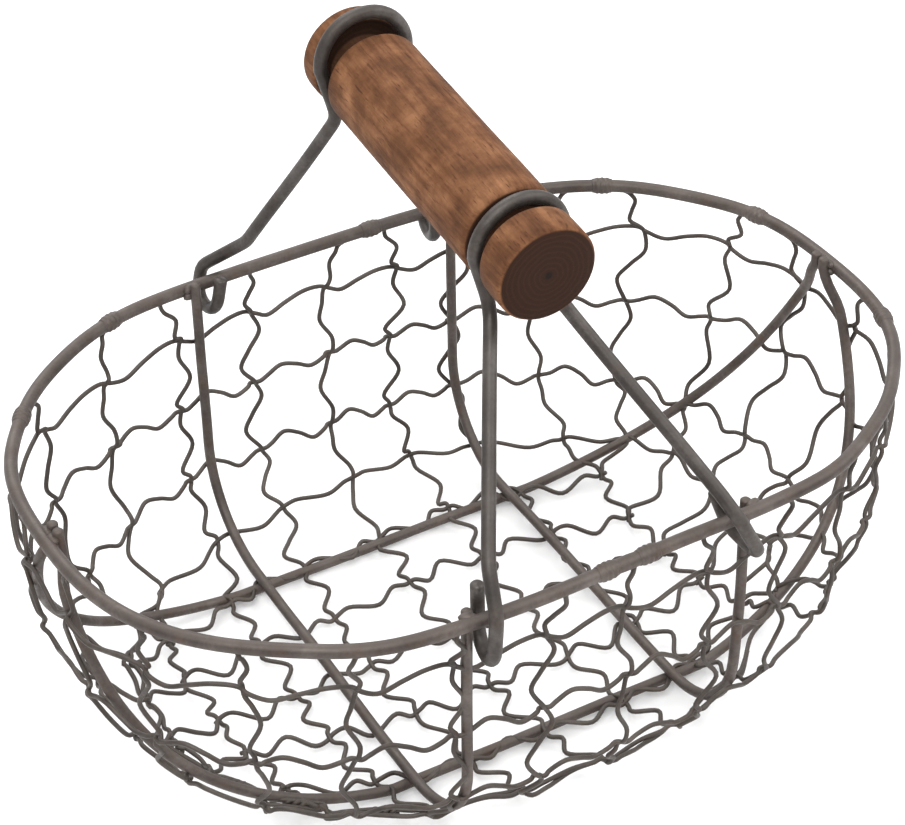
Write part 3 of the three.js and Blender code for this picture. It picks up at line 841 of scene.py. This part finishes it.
def build_knots(parts, seam):
    """Short tight twists of two wires that hold the laced wire to the seam."""
    wind = NET_RADIUS * KNOT_WIND
    for place in KNOT_PLACES:
        middle = round(place * len(seam))
        centre = seam[middle]
        along = unit(seam[middle + 4] - seam[middle - 4])
        climb = wall_climb(centre)
        outward = wall_outward(centre)
        for half_turn in (0, math.pi):
            run = []
            for k in range(KNOT_STEPS + 1):
                part = 2 * k / KNOT_STEPS - 1
                spin = math.pi * KNOT_TWISTS * part + half_turn
                ring = climb * math.cos(spin) + outward * (1 + math.sin(spin))
                run.append(centre + along * KNOT_HALF * part + ring * wind)
            add_tube(parts, run, NET_RADIUS, NET_SIDES)


def build_netting(material):
    """The whole sheet as one piece, with the laced wire and the knots along its seam."""
    dice = random.Random(NET_SEED)
    walls, floor = net_crossings(dice)
    rows = net_rows(walls, floor, dice)
    parts = Parts()
    columns = side_columns(walls, floor, dice) + end_columns(walls, floor, dice)
    for wire in rows + columns:
        run = smooth_run(wire.controls(), NET_SPAN_STEPS, wire.closed)
        add_tube(parts, run, NET_RADIUS, NET_SIDES, wire.closed, NET_UP)
    seam_wire = rows[len(walls) - 1]
    seam = resample(smooth_run(seam_wire.controls(), NET_SPAN_STEPS, True), 1.0, True)
    build_lace(parts, seam)
    build_knots(parts, seam)
    names = [name for name in frame["nodes"] if name.startswith("net_") and "tie" not in name]
    make_piece("netting", parts, material, "basket", "net_wire", *names)


TIE_RINGS = 44
TIE_SIDES = 22
TIE_HALF = 3.3
TIE_TURNS = 4
TIE_GROOVE = 0.1
TIE_HEIGHT = 0.7
TIE_BASE = 0.96
TIE_ROUNDNESS = 0.45


def build_ties(material):
    """The netting wire's ends, wound tight and close round the rim."""
    for number, step in enumerate(TIE_PLACES, start=1):
        spot, along = rim_place(step)
        parts = Parts()
        run = []
        radii = []
        for k in range(TIE_RINGS + 1):
            part = k / TIE_RINGS
            groove = TIE_GROOVE * math.cos(2 * math.pi * part * TIE_TURNS)
            swell = math.sin(math.pi * part) ** TIE_ROUNDNESS
            run.append(spot + along * TIE_HALF * (2 * part - 1))
            radii.append(RIM_RADIUS * TIE_BASE + (TIE_HEIGHT + groove) * swell)
        add_tube(parts, run, radii, TIE_SIDES)
        make_piece(f"tie_{number}", parts, material, "basket", "tie_wire", f"net_tie_{number}")


# ---- the frame's pieces

def build_rim(material):
    """One ring of wire with a slight swelling at its butt weld."""
    points = resample(RIM_RUN, RIM_SPACING, True)
    radii = []
    for i in range(len(points)):
        around = i / len(points) * RIM_STEPS
        gap = abs(around - RIM_SEAM_STEP)
        radii.append(RIM_RADIUS * (1 + RIM_SEAM_SWELL * math.exp(-(gap / RIM_SEAM_REACH) ** 2)))
    parts = Parts()
    add_tube(parts, points, radii, RIM_SIDES, True)
    make_piece("rim_wire", parts, material, "basket", "rim_wire", "rim")


# Each weld is two beads: how high, and how large beside WELD_RADII.
WELD_BEADS = ((1.0, 1.0), (-1.2, 1.15))
WELD_RADII = (1.5, 2.6, 1.3)
WELD_INSET = 0.85


def rim_weld(parts, spot, seed):
    """A bead in the corner between the rim and a rib's top."""
    rim_spot = rim_point(rim_turn(spot[0], spot[1]))
    inward = unit(spot - rim_spot)
    along = unit(np.cross(UP, inward))
    for lift, size in WELD_BEADS:
        at = rim_spot + inward * (RIM_RADIUS * WELD_INSET) + UP * lift
        radii = [radius * size for radius in WELD_RADII]
        add_bead(parts, at, radii, (inward, along, UP), seed + lift)


# How far a rib wanders from its plain curve, and over what length.
RIB_WANDER = 0.5
CROSS_WANDER_RUN = 40.0
LONG_WANDER_RUN = 45.0
CROSS_SEED = 3
CROSS_WELD_SEED = 7
LONG_SEED = 9
LONG_WELD_SEED = 11


def build_cross_ribs(material):
    """Two U-shaped ribs across the basket, each welded to the rim at both ends."""
    for name, side in (("left", -1), ("right", 1)):
        run = cross_rib_run(RIB_MIDDLE_X + side * RIB_SPREAD)
        run = hand_bent(run, RIB_WANDER, CROSS_WANDER_RUN, side + CROSS_SEED)
        parts = Parts()
        add_tube(parts, run, RIB_RADIUS, RIB_SIDES, False, vec(1, 0, 0))
        for end in (0, -1):
            top = run[end]
            rim_weld(parts, vec(top[0], top[1], RIM_HEIGHT), side * CROSS_WELD_SEED + end)
        make_piece(f"cross_rib_{name}_wire", parts, material, "basket", "rib_wire", f"cross_rib_{name}")


def build_long_ribs(material):
    """Two ribs along the basket, each welded to the rim at both ends."""
    for name, side in (("far", 1), ("near", -1)):
        run = hand_bent(long_rib_run(side), RIB_WANDER, LONG_WANDER_RUN, side + LONG_SEED)
        parts = Parts()
        add_tube(parts, run, RIB_RADIUS, RIB_SIDES)
        for end in (0, -1):
            top = run[end]
            rim_weld(parts, vec(top[0], top[1], RIM_HEIGHT), side * LONG_WELD_SEED + end)
        make_piece(f"long_rib_{name}_wire", parts, material, "basket", "rib_wire", f"long_rib_{name}")


# ---- the handle

HOOK_OUT = RIM_HALF_WIDTH + 4.9
HOOK_IN = RIM_HALF_WIDTH - 7.1
HOOK_BEND = 5.9
SHOULDER_BEND = 10
LOOP_MOUTH_BEND = 9
LOOP_STEPS = 24
BAIL_SPACING = 1.6
BAIL_SIDES = 18
BAIL_WANDER = 0.4
BAIL_WANDER_RUN = 45.0
BAIL_SEED = 5

NEAR_LOW = RIM_HEIGHT - 12.2
NEAR_TIP = RIM_HEIGHT + 7.0
FAR_LOW = RIM_HEIGHT - 8.7
FAR_TIP = RIM_HEIGHT + 3.0
INNER_RISE = 5.7

# Shoulders, where each leg bends towards the grip.
NEAR_LEFT_SHOULDER = vec(-42.0, -87.5, 108.5)
NEAR_RIGHT_SHOULDER = vec(29.5, -89.0, 103.5)
FAR_LEFT_SHOULDER = vec(-27.5, 81.5, 107.5)
FAR_RIGHT_SHOULDER = vec(31.0, 81.5, 107.5)

# Hooks: heights of the low, inner and tip points, x of the tip, inner, low and outer points,
# and the height of the outer point.
NEAR_LEFT_HOOK = (NEAR_LOW, NEAR_LOW, NEAR_TIP, -42.9, -42.9, -45.2, -44.2, 97.0)
NEAR_RIGHT_HOOK = (NEAR_LOW, NEAR_LOW + INNER_RISE, NEAR_TIP, 31.5, 36.5, 40.5, 32.0, 97.5)
FAR_LEFT_HOOK = (FAR_LOW, FAR_LOW, FAR_TIP, -36.0, -38.5, -39.2, -36.8, 94.5)
FAR_RIGHT_HOOK = (FAR_LOW, FAR_LOW, FAR_TIP, 38.5, 38.5, 40.5, 41.0, 94.5)


def hook_corners(side, low_z, inner_z, tip_z, tip_x, inner_x, low_x, outer_x, outer_z):
    """From the tip inside the rim, under the rim, to the foot of the leg outside it."""
    return [
        (vec(tip_x, side * HOOK_IN, tip_z), 0),
        (vec(inner_x, side * HOOK_IN, inner_z), HOOK_BEND),
        (vec(low_x, side * HOOK_OUT, low_z), HOOK_BEND),
        (vec(outer_x, side * HOOK_OUT, outer_z), HOOK_BEND),
    ]


def loop_corners(loop):
    """Up into the loop, over the grip's neck and down out of it."""
    corners = [(loop + vec(-LOOP_MOUTH_HALF, 0, -LOOP_MOUTH_DROP), LOOP_MOUTH_BEND)]
    for i in range(LOOP_STEPS + 1):
        angle = math.pi - math.pi * i / LOOP_STEPS
        corners.append((loop + vec(LOOP_RADIUS * math.cos(angle), 0, LOOP_RADIUS * math.sin(angle)), 0))
    corners.append((loop + vec(LOOP_MOUTH_HALF, 0, -LOOP_MOUTH_DROP), LOOP_MOUTH_BEND))
    return corners


def bail_run(side, loop, left_shoulder, right_shoulder, left_hook, right_hook):
    corners = hook_corners(side, *left_hook)
    corners.append((left_shoulder, SHOULDER_BEND))
    corners.extend(loop_corners(loop))
    corners.append((right_shoulder, SHOULDER_BEND))
    corners.extend(reversed(hook_corners(side, *right_hook)))
    return resample(bent_wire(corners, math.pi / 20), BAIL_SPACING)


def build_bails(material):
    """One bent wire on each side: hook, leg, loop, leg, hook."""
    near = bail_run(-1, NEAR_LOOP, NEAR_LEFT_SHOULDER, NEAR_RIGHT_SHOULDER,
                    NEAR_LEFT_HOOK, NEAR_RIGHT_HOOK)
    far = bail_run(1, FAR_LOOP, FAR_LEFT_SHOULDER, FAR_RIGHT_SHOULDER,
                   FAR_LEFT_HOOK, FAR_RIGHT_HOOK)
    for name, run in (("near", near), ("far", far)):
        run = hand_bent(run, BAIL_WANDER, BAIL_WANDER_RUN, BAIL_SEED)
        parts = Parts()
        add_tube(parts, run, BAIL_RADIUS, BAIL_SIDES, False, vec(1, 0, 0))
        make_piece(f"bail_{name}_wire", parts, material, f"{name}_bail", "bail_wire", f"bail_{name}")


GRIP_SIDES = 72
GRIP_BODY_STEPS = 14
GRIP_BODY_GAP = 2
GRIP_WOBBLE = 0.008
GRIP_WOBBLE_SCALE = 1.3
GRIP_WOBBLE_RUN = 0.03

# The rounded edge of an end face: radius, and distance in from the face.
FACE_EDGE = [
    (GRIP_RADIUS - 1.3, 0.1),
    (GRIP_RADIUS - 0.5, 0.45),
    (GRIP_RADIUS - 0.1, 1.1),
    (GRIP_RADIUS, 2.2),
]
# A groove's edge: radius, and distance out from the groove, then in along its wall.
GROOVE_LIP = [(GRIP_RADIUS - 0.1, 1.0), (GRIP_RADIUS - 0.6, 0.3), (GRIP_RADIUS - 1.4, 0)]
GROOVE_WALL = [(NECK_RADIUS + 0.8, 0.3), (NECK_RADIUS, 1.2)]


def groove_profile(start, end, neck_places=()):
    """Down one side of a groove, along the neck and up the other side."""
    profile = [(radius, start - out) for radius, out in GROOVE_LIP]
    profile += [(radius, start + inside) for radius, inside in GROOVE_WALL]
    profile += [(NECK_RADIUS, place) for place in neck_places]
    profile += [(radius, end - inside) for radius, inside in reversed(GROOVE_WALL)]
    profile += [(radius, end + out) for radius, out in reversed(GROOVE_LIP)]
    return profile


def grip_profile(length):
    """The turned outline, as radius and distance from the near face."""
    near_groove_end = COLLAR_NEAR + GROOVE_WIDTH
    far_edge = length - COLLAR_FAR
    far_groove_start = far_edge - GROOVE_WIDTH
    body_start = near_groove_end + GRIP_BODY_GAP
    body_end = far_groove_start - GRIP_BODY_GAP
    profile = [(0, 0), (4.0, 0.05), (8.0, 0.0)] + FACE_EDGE
    profile += [(GRIP_RADIUS, 5.0), (GRIP_RADIUS, 8.0)]
    profile += groove_profile(COLLAR_NEAR, near_groove_end, [COLLAR_NEAR + GROOVE_WIDTH / 2])
    for i in range(GRIP_BODY_STEPS + 1):
        profile.append((GRIP_RADIUS, body_start + (body_end - body_start) * i / GRIP_BODY_STEPS))
    profile += groove_profile(far_groove_start, far_edge)
    profile.append((GRIP_RADIUS, far_edge + 2.5))
    profile += [(radius, length - inside) for radius, inside in reversed(FACE_EDGE)]
    profile += [(8.0, length), (4.0, length), (0, length)]
    return profile


def build_grip(material):
    """Turned along local Z, then set on its axis, so its grain runs with it."""
    axis = unit(GRIP_FAR - GRIP_NEAR)
    profile = grip_profile(float(np.linalg.norm(GRIP_FAR - GRIP_NEAR)))
    verts = []
    for radius, z in profile:
        for k in range(GRIP_SIDES):
            angle = 2 * math.pi * k / GRIP_SIDES
            way = Vector((math.cos(angle), math.sin(angle), z * GRIP_WOBBLE_RUN))
            reach = radius * (1 + GRIP_WOBBLE * noise.noise(way * GRIP_WOBBLE_SCALE))
            verts.append(vec(reach * math.cos(angle), reach * math.sin(angle), z))
    faces = ring_faces(len(profile), GRIP_SIDES, False)
    mesh = bpy.data.meshes.new("grip_wood")
    mesh.from_pydata([tuple(v * MM) for v in verts], [], faces)
    mesh.polygons.foreach_set("use_smooth", [True] * len(mesh.polygons))
    mesh.materials.append(material)
    piece = bpy.data.objects.new("grip_turned", mesh)
    bpy.context.scene.collection.objects.link(piece)
    turn = Vector((0, 0, 1)).rotation_difference(Vector(axis)).to_matrix().to_4x4()
    piece.matrix_world = Matrix.Translation(Vector(GRIP_NEAR * MM)) @ turn
    bpy.context.view_layer.update()
    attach(piece, "handle_grip")
    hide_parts("grip")


# ---- materials

WOOD_DARK = (0.070, 0.030, 0.014)
WOOD_MIDDLE = (0.145, 0.064, 0.029)
WOOD_LIGHT = (0.260, 0.127, 0.063)
WOOD_PORE = (0.055, 0.020, 0.010)
# Painted shade colour for the grip's grooves.
WOOD_GROOVE_SHADE = (0.040, 0.017, 0.009)
WOOD_END_DARK = (0.023, 0.0090, 0.0043)
WOOD_END_LIGHT = (0.029, 0.0115, 0.0056)
WOOD_PITH = (0.010, 0.005, 0.003)
RINGS_PER_METRE = 620.0
RING_WOBBLE = 0.002

BLACK = (0, 0, 0)
WHITE = (1, 1, 1)

# Old bare wire, by piece: its greys, its rust, and how it shines.
FRAME_METAL = {
    "dark": (0.045, 0.035, 0.030), "middle": (0.078, 0.063, 0.055), "light": (0.125, 0.104, 0.093),
    "rust": (0.085, 0.050, 0.034), "rust_amount": 0.35, "metallic": 0.45, "roughness": 0.5,
}
NET_METAL = {
    "dark": (0.036, 0.029, 0.025), "middle": (0.058, 0.048, 0.041), "light": (0.098, 0.083, 0.073),
    "rust": (0.075, 0.045, 0.031), "rust_amount": 0.4, "metallic": 0.45, "roughness": 0.5,
}
BAIL_METAL = {
    "dark": (0.030, 0.025, 0.022), "middle": (0.054, 0.046, 0.041), "light": (0.105, 0.094, 0.086),
    "rust": (0.058, 0.038, 0.027), "rust_amount": 0.45, "metallic": 0.5, "roughness": 0.45,
}


def new_material(name):
    material = bpy.data.materials.new(name)
    material.use_nodes = True
    nodes = material.node_tree.nodes
    nodes.clear()
    output = nodes.new("ShaderNodeOutputMaterial")
    shader = nodes.new("ShaderNodeBsdfPrincipled")
    material.node_tree.links.new(shader.outputs["BSDF"], output.inputs["Surface"])
    return material, shader


def noise_node(material, coords, scale, detail, roughness):
    node = material.node_tree.nodes.new("ShaderNodeTexNoise")
    node.inputs["Scale"].default_value = scale
    node.inputs["Detail"].default_value = detail
    node.inputs["Roughness"].default_value = roughness
    material.node_tree.links.new(coords, node.inputs["Vector"])
    return node.outputs["Fac"]


def ramp(material, source, stops):
    node = material.node_tree.nodes.new("ShaderNodeValToRGB")
    band = node.color_ramp
    while len(band.elements) < len(stops):
        band.elements.new(0.5)
    for element, (place, color) in zip(band.elements, stops):
        element.position = place
        element.color = (*color, 1.0)
    material.node_tree.links.new(source, node.inputs["Fac"])
    return node.outputs["Color"]


def mix(material, factor, a, b, mode="MIX"):
    node = material.node_tree.nodes.new("ShaderNodeMix")
    node.data_type = "RGBA"
    node.blend_type = mode
    factor_socket = node.inputs[0]
    a_socket = [s for s in node.inputs if s.type == "RGBA"][0]
    b_socket = [s for s in node.inputs if s.type == "RGBA"][1]
    links = material.node_tree.links
    for socket, value in ((factor_socket, factor), (a_socket, a), (b_socket, b)):
        if isinstance(value, bpy.types.NodeSocket):
            links.new(value, socket)
        elif isinstance(value, (int, float)):
            socket.default_value = value
        else:
            socket.default_value = (*value, 1.0)
    return [s for s in node.outputs if s.type == "RGBA"][0]


def bump(material, shader, height, distance, strength):
    node = material.node_tree.nodes.new("ShaderNodeBump")
    node.inputs["Distance"].default_value = distance
    node.inputs["Strength"].default_value = strength
    material.node_tree.links.new(height, node.inputs["Height"])
    material.node_tree.links.new(node.outputs["Normal"], shader.inputs["Normal"])


def wire_metal(name, dark, middle, light, rust, rust_amount, metallic, roughness):
    """Old bare wire: dull grey-brown, with lighter rubbed patches, a rusty tint, and a painted highlight
    on the upward-facing side.
    """
    material, shader = new_material(name)
    links = material.node_tree.links
    coords = material.node_tree.nodes.new("ShaderNodeTexCoord").outputs["Object"]
    broad = noise_node(material, coords, 70.0, 5.0, 0.6)
    fine = noise_node(material, coords, 900.0, 4.0, 0.6)
    patches = noise_node(material, coords, 160.0, 6.0, 0.65)
    base = ramp(material, broad, [(0.3, dark), (0.52, middle), (0.72, light)])
    rusty = ramp(material, patches, [(0.5, BLACK), (0.5 + rust_amount, WHITE)])
    tinted = mix(material, rusty, base, rust)
    speck = ramp(material, fine, [(0.3, (0.72, 0.72, 0.72)), (0.6, (1.08, 1.08, 1.08))])
    color = mix(material, 0.6, tinted, speck, "MULTIPLY")
    # Painted highlight: the upward-facing side of the wire is mixed toward the light tone, standing in
    # for light falling from above.
    geometry = material.node_tree.nodes.new("ShaderNodeNewGeometry")
    split = material.node_tree.nodes.new("ShaderNodeSeparateXYZ")
    links.new(geometry.outputs["Normal"], split.inputs["Vector"])
    upward = ramp(material, split.outputs["Z"], [(0.45, BLACK), (0.95, (0.5, 0.5, 0.5))])
    top_highlighted = mix(material, upward, color, light)
    links.new(top_highlighted, shader.inputs["Base Color"])
    rough = ramp(material, patches, [(0.3, (roughness - 0.08,) * 3), (0.7, (roughness + 0.12,) * 3)])
    links.new(rough, shader.inputs["Roughness"])
    shader.inputs["Metallic"].default_value = metallic
    shader.inputs["Specular IOR Level"].default_value = 0.4
    bump(material, shader, fine, 0.00018, 0.6)
    return material


def math_node(material, operation, first, second=0.0):
    node = material.node_tree.nodes.new("ShaderNodeMath")
    node.operation = operation
    for socket, value in zip(node.inputs, (first, second)):
        if isinstance(value, bpy.types.NodeSocket):
            material.node_tree.links.new(value, socket)
        else:
            socket.default_value = value
    return node.outputs["Value"]


def scaled(material, coords, scale):
    node = material.node_tree.nodes.new("ShaderNodeMapping")
    node.inputs["Scale"].default_value = scale
    material.node_tree.links.new(coords, node.inputs["Vector"])
    return node.outputs["Vector"]


def from_axis(material, coords):
    """Distance from the grip's own axis."""
    node = material.node_tree.nodes.new("ShaderNodeVectorMath")
    node.operation = "LENGTH"
    material.node_tree.links.new(scaled(material, coords, (1.0, 1.0, 0.0)), node.inputs[0])
    return node.outputs["Value"]


def grip_wood():
    """Turned hardwood: mottled warm brown with dark pores along the grain and dark end grain."""
    material, shader = new_material("turned_wood")
    links = material.node_tree.links
    places = material.node_tree.nodes.new("ShaderNodeTexCoord")
    coords = places.outputs["Object"]
    along = scaled(material, coords, (1.0, 1.0, 0.09))
    pores = scaled(material, coords, (1.0, 1.0, 0.16))
    grain = noise_node(material, along, 520.0, 6.0, 0.62)
    streak = noise_node(material, pores, 1300.0, 3.0, 0.5)
    mottle = noise_node(material, coords, 85.0, 5.0, 0.6)
    base = ramp(material, mottle, [(0.28, WOOD_DARK), (0.5, WOOD_MIDDLE), (0.72, WOOD_LIGHT)])
    dark_grain = ramp(material, grain, [(0.35, (0.60, 0.52, 0.47)), (0.6, (1.08, 1.04, 1.0))])
    grained = mix(material, 0.9, base, dark_grain, "MULTIPLY")
    fleck = ramp(material, streak, [(0.60, BLACK), (0.72, (0.85, 0.85, 0.85))])
    flecked = mix(material, fleck, grained, WOOD_PORE)
    radius = from_axis(material, coords)
    groove_depth = math_node(material, "DIVIDE", radius, GRIP_RADIUS * MM)
    # Painted shade: where the surface lies nearer the axis, as in the grooves, the wood is mixed toward
    # a dark colour that stands in for shadow.
    groove_shade_mask = ramp(material, groove_depth, [(0.64, (0.72, 0.72, 0.72)), (0.93, BLACK)])
    groove_shaded = mix(material, groove_shade_mask, flecked, WOOD_GROOVE_SHADE)
    wobbly = noise_node(material, coords, 140.0, 3.0, 0.5)
    off_centre = math_node(material, "ADD", radius, math_node(material, "MULTIPLY", wobbly, RING_WOBBLE))
    ring_angle = math_node(material, "MULTIPLY", off_centre, RINGS_PER_METRE * 2 * math.pi)
    rings = math_node(material, "SINE", ring_angle)
    end_grain = ramp(material, rings, [(0.0, WOOD_END_DARK), (1.0, WOOD_END_LIGHT)])
    pith = ramp(material, groove_depth, [(0.05, WHITE), (0.11, BLACK)])
    end_color = mix(material, pith, end_grain, WOOD_PITH)
    split = material.node_tree.nodes.new("ShaderNodeSeparateXYZ")
    links.new(places.outputs["Normal"], split.inputs["Vector"])
    lengthwise = math_node(material, "ABSOLUTE", split.outputs["Z"])
    facing = ramp(material, lengthwise, [(0.72, BLACK), (0.9, WHITE)])
    color = mix(material, facing, groove_shaded, end_color)
    links.new(color, shader.inputs["Base Color"])
    shader.inputs["Roughness"].default_value = 0.72
    shader.inputs["Specular IOR Level"].default_value = 0.12
    bump(material, shader, grain, 0.00035, 0.5)
    return material


# ---- the stage

FLOOR_HALF = 3.0
FLOOR_LEVEL = -0.0012
FLOOR_COLOR = (0.92, 0.92, 0.92, 1)
WORLD_COLOR = (1.0, 1.0, 1.0, 1)
WORLD_STRENGTH = 0.95

# Each light: its name, place, size and power. All of them face the same target.
LIGHT_TARGET = (0, 0, 0.1)
LIGHTS = [
    ("key", (-0.5, -0.7, 1.3), 0.9, 14),
    ("fill", (0.9, -0.5, 0.9), 1.0, 7),
    ("back", (0.1, 1.0, 1.1), 0.9, 8),
]

CAMERA_PLACE = (-0.3191, -0.5684, 0.5769)
CAMERA_RIGHT = (0.867623, -0.496947, -0.016574)
CAMERA_FORWARD = (0.388095, 0.697661, -0.602205)
CAMERA_LENS = 112.1
CAMERA_SENSOR = 36.0
CAMERA_CLIP = (0.01, 20.0)


def build_stage():
    """A plain pale floor just under the basket."""
    mesh = bpy.data.meshes.new("floor")
    ways = ((-1, -1), (1, -1), (1, 1), (-1, 1))
    corners = [(x * FLOOR_HALF, y * FLOOR_HALF, FLOOR_LEVEL) for x, y in ways]
    mesh.from_pydata(corners, [], [[0, 1, 2, 3]])
    material, shader = new_material("pale_floor")
    shader.inputs["Base Color"].default_value = FLOOR_COLOR
    shader.inputs["Roughness"].default_value = 0.9
    mesh.materials.append(material)
    floor = bpy.data.objects.new("floor", mesh)
    bpy.context.scene.collection.objects.link(floor)


def add_light(name, place, size, power):
    data = bpy.data.lights.new(name, "AREA")
    data.size = size
    data.energy = power
    light = bpy.data.objects.new(name, data)
    bpy.context.scene.collection.objects.link(light)
    light.location = place
    light.rotation_euler = (Vector(LIGHT_TARGET) - Vector(place)).to_track_quat("-Z", "Y").to_euler()


def build_lights():
    world = bpy.data.worlds.new("studio")
    world.use_nodes = True
    background = world.node_tree.nodes["Background"]
    background.inputs["Color"].default_value = WORLD_COLOR
    background.inputs["Strength"].default_value = WORLD_STRENGTH
    bpy.context.scene.world = world
    bpy.context.scene.view_settings.view_transform = "Standard"
    for name, place, size, power in LIGHTS:
        add_light(name, place, size, power)


def build_camera():
    """The photograph's view: place, aim and lens in the frame's own axes."""
    data = bpy.data.cameras.new("camera")
    data.sensor_width = CAMERA_SENSOR
    data.lens = CAMERA_LENS
    data.clip_start, data.clip_end = CAMERA_CLIP
    camera = bpy.data.objects.new("camera", data)
    bpy.context.scene.collection.objects.link(camera)
    right = Vector(CAMERA_RIGHT)
    forward = Vector(CAMERA_FORWARD).normalized()
    right = (right - forward * right.dot(forward)).normalized()
    above = right.cross(forward)
    turn = Matrix((right, above, -forward)).transposed().to_4x4()
    camera.matrix_world = Matrix.Translation(Vector(CAMERA_PLACE)) @ turn
    bpy.context.scene.camera = camera


# ---- put together

def build_all():
    frame_metal = wire_metal("frame_metal", **FRAME_METAL)
    net_metal = wire_metal("net_metal", **NET_METAL)
    bail_metal = wire_metal("bail_metal", **BAIL_METAL)
    build_rim(frame_metal)
    build_cross_ribs(frame_metal)
    build_long_ribs(frame_metal)
    build_netting(net_metal)
    build_ties(frame_metal)
    build_bails(bail_metal)
    build_grip(grip_wood())
    build_stage()
    build_lights()
    build_camera()


build_all()
